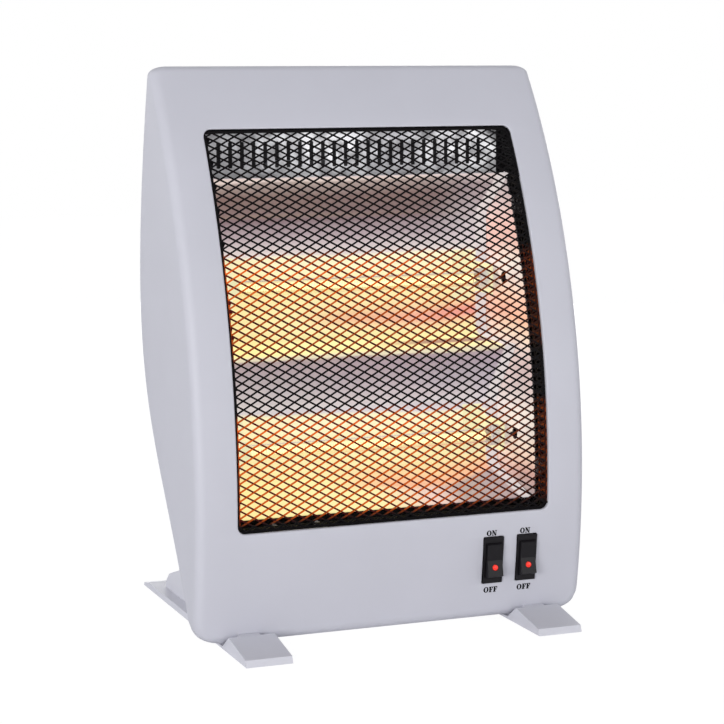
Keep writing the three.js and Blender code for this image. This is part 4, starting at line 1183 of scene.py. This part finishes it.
def end_cap(side, place):
    end = CAP_INNER + CAP_LENGTH
    bore = TUBE_RADIUS + FIT
    chamfer = 0.4
    rounding, shoulder = 1.0, 0.3
    outline = [
        (bore, CAP_INNER + chamfer), (bore + chamfer, CAP_INNER),
        (CAP_RADIUS - rounding, CAP_INNER), (CAP_RADIUS - shoulder, CAP_INNER + shoulder),
        (CAP_RADIUS, CAP_INNER + rounding), (CAP_RADIUS, end - rounding),
        (CAP_RADIUS - shoulder, end - shoulder), (CAP_RADIUS - rounding, end), (0, end),
        (0, CAP_INNER + CAP_SEAT), (bore, CAP_INNER + CAP_SEAT),
    ]
    net = Net()
    turned(net, [(radius, side * x) for radius, x in outline], place)
    return net


for level, place in TUBES.items():
    tube = Net()
    turned(tube, [
        (TUBE_BORE, -TUBE_HALF), (TUBE_RADIUS, -TUBE_HALF), (TUBE_RADIUS, TUBE_HALF),
        (TUBE_BORE, TUBE_HALF),
    ], place)
    piece(f"quartz_{level}", tube, "quartz", stands_for=[f"quartz_tube_{level}"])
    piece(f"coil_{level}", heating_coil(place), "filament", angle=60,
          stands_for=[f"heating_element_{level}"])
    for side_name, side in (("left", -1), ("right", 1)):
        # the left caps get a strong painted glow, the right ones a faint one
        look = "ceramic_hot" if side < 0 else "ceramic"
        piece(f"cap_{level}_{side_name}", end_cap(side, place), look,
              stands_for=[f"end_cap_{level}_{side_name}"])

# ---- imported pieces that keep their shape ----

FLAT_ANGLE = 1  # turns below it, in degrees, are flat
SHARP_ANGLE = 38  # edges that turn further are rounded


def finish_packed(name, look, round_edge):
    """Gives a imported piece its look, and rounds its sharp edges a little."""
    made = frame["nodes"][name]
    made.data.materials.clear()
    made.data.materials.append(LOOKS[look])
    if round_edge:
        give(made.modifiers.new("clean", "DECIMATE"),
             decimate_type="DISSOLVE", angle_limit=radians(FLAT_ANGLE))
        give(made.modifiers.new("edges", "BEVEL"),
             width=round_edge * MM, segments=2, limit_method="ANGLE",
             angle_limit=radians(SHARP_ANGLE), harden_normals=True)


SLOTS = {row["node"]: row["material_slot"] for row in frame["record"]["subparts"]}
EDGES = {  # rounding by the start of a name
    "foot_left": 0.8, "foot_right": 0.8, "switch_housing": 0.45, "rocker": 0.4,
    "terminal_block": 0.5, "tilt_switch_frame": 0.3, "tilt_microswitch": 0.4,
    "thermal_cutout": 0.4, "inlet_gland": 0.4, "end_plate": 0.15, "heat_shield": 0.12,
    "lamp_holder": 0.15, "tilt_pendulum": 0.3,
}
# the end plates, heat shield and lamp holders get looks with the tubes' light painted on
OWN_LOOKS = {
    "end_plate": "end_glow", "heat_shield": "shield_sheet", "lamp_holder": "bracket_hot"}


def for_name(table, name, default):
    return next((value for start, value in table.items() if name.startswith(start)), default)


for node, slot in SLOTS.items():
    finish_packed(node, for_name(OWN_LOOKS, node, slot), for_name(EDGES, node, 0))

# ---- lettering beside the switches ----

LETTER_GAP = 0.04
INK_HEIGHT = 0.06
INK_ROOT = 0.2  # how far the ink reaches into the shell
WORDS = {"ON": (-5.2, 59.6, 63.2, 7.4), "OFF": (-5.4, 21.2, 25.0, 9.9)}  # left, low, high, width


def ring(width, height, thick, thin, steps=32):
    """An oval ring, in short pieces, thicker at its sides than above and below."""
    outer, inner = (
        [(0.42 + across * c, 0.5 + rise * s) for c, s in circle(steps)]
        for across, rise in ((width / 2, height / 2), (width / 2 - thick, height / 2 - thin)))
    return [
        [outer[i], outer[i + 1 - steps], inner[i + 1 - steps], inner[i]] for i in range(steps)]


def bar(left, right, low, high):
    return [(left, low), (right, low), (right, high), (left, high)]


LETTERS = {  # bold letters with serifs, one unit tall: their polygons and width
    "O": (ring(0.84, 1.04, 0.27, 0.12), 0.84),
    "N": ([
        bar(0.11, 0.22, 0, 1), bar(0.64, 0.75, 0, 1),
        [(0.04, 1), (0.34, 1), (0.75, 0.0), (0.54, 0.0)],
        bar(0, 0.26, 0.89, 1), bar(0.0, 0.34, 0, 0.11), bar(0.53, 0.86, 0.89, 1),
    ], 0.86),
    "F": ([
        bar(0.10, 0.38, 0, 1), bar(0, 0.68, 0.89, 1), bar(0, 0.48, 0, 0.11),
        [(0.68, 0.90), (0.68, 0.64), (0.60, 0.66), (0.46, 0.90)],
        bar(0.37, 0.47, 0.44, 0.56), bar(0.46, 0.54, 0.32, 0.68),
    ], 0.68),
}


def word(text, left, low, high, width):
    """A word laid on the front face, a film of ink thick."""
    shapes, at = [], 0.0
    for letter in text:
        polygons, advance = LETTERS[letter]
        shapes += [[(x + at, y) for x, y in polygon] for polygon in polygons]
        at += advance + LETTER_GAP
    net = Net()
    for polygon in shapes:
        flat = [(left + x / at * width, low + y * (high - low)) for x, y in polygon]
        front, back = (
            [front_face(x, z, depth) for x, z in flat] for depth in (-INK_HEIGHT, INK_ROOT))
        net.face(*front)
        net.strip(front, back, closed=True)
        net.face(*back)
    return net


for name, x in zip(("left", "right"), SWITCH_X):
    for text, (left, low, high, width) in WORDS.items():
        piece(f"word_{text.lower()}_{name}", word(text, x + left, low, high, width), "ink")

# ---- ground, backdrop and light ----

GROUND_HALF = 4000
LAMP_AIM = Vector((0, 0, 0.17))
LAMPS = {  # place and size in metres, power in watts
    "key": ((-1.6, -1.4, 0.45), 0.9, 17),
    "fill": ((0.9, -1.7, 0.2), 1.2, 6),
    "rear": ((0.9, 1.7, 0.25), 1.2, 15),
}


def make_ground():
    """Pale ground that keeps the shadow, and is nearly white to the camera."""
    net, half = Net(), GROUND_HALF
    net.face((-half, -half, 0), (half, -half, 0), (half, half, 0), (-half, half, 0))
    mesh = mesh_from(net, "ground")
    nodes = Surface("ground")
    tone = nodes.mix(nodes.noise(3), (0.90, 0.90, 0.90), (0.93, 0.93, 0.93))
    nodes.set(nodes.shader, Base_Color=tone, Roughness=0.9)
    white = nodes.set(nodes.add("Emission"), Color=(1, 1, 1), Strength=1.1)
    share = nodes.times(nodes.add("LightPath").outputs["Is Camera Ray"], 0.85)
    mixer = nodes.fill(nodes.add("MixShader"), share, nodes.shader.outputs[0], white.outputs[0])
    nodes.set(nodes.tree.nodes["Material Output"], Surface=mixer.outputs[0])
    mesh.materials.append(nodes.material)
    ground = placed("ground", mesh)


def make_world():
    """A room that is white to the camera, in gloss and through glass, and darker overhead."""
    world = bpy.data.worlds.new("white_room")
    bpy.context.scene.world = world
    world.use_nodes = True
    nodes = Nodes(world.node_tree)
    rays = nodes.add("LightPath").outputs
    seen = nodes.math("MAXIMUM", rays["Is Camera Ray"], rays["Is Glossy Ray"])
    seen = nodes.math("MAXIMUM", seen, rays["Is Transmission Ray"])
    _, _, rise = nodes.split(nodes.add("TexCoord").outputs["Generated"])
    overhead = nodes.span(rise, 0.35, 0.85, smooth=True)
    light = nodes.mix(overhead, (0.96, 0.97, 1.0), (0.12, 0.12, 0.13))
    nodes.set(nodes.tree.nodes["Background"], Color=nodes.mix(seen, light, (1, 1, 1)))


def make_lamp(name, place, size, power):
    data = give(bpy.data.lights.new(name, "AREA"), shape="DISK", size=size, energy=power)
    aim = (LAMP_AIM - Vector(place)).to_track_quat("-Z", "Y").to_euler()
    give(placed(name, data), location=place, rotation_euler=aim)


make_ground()
make_world()
for name, setting in LAMPS.items():
    make_lamp(name, *setting)
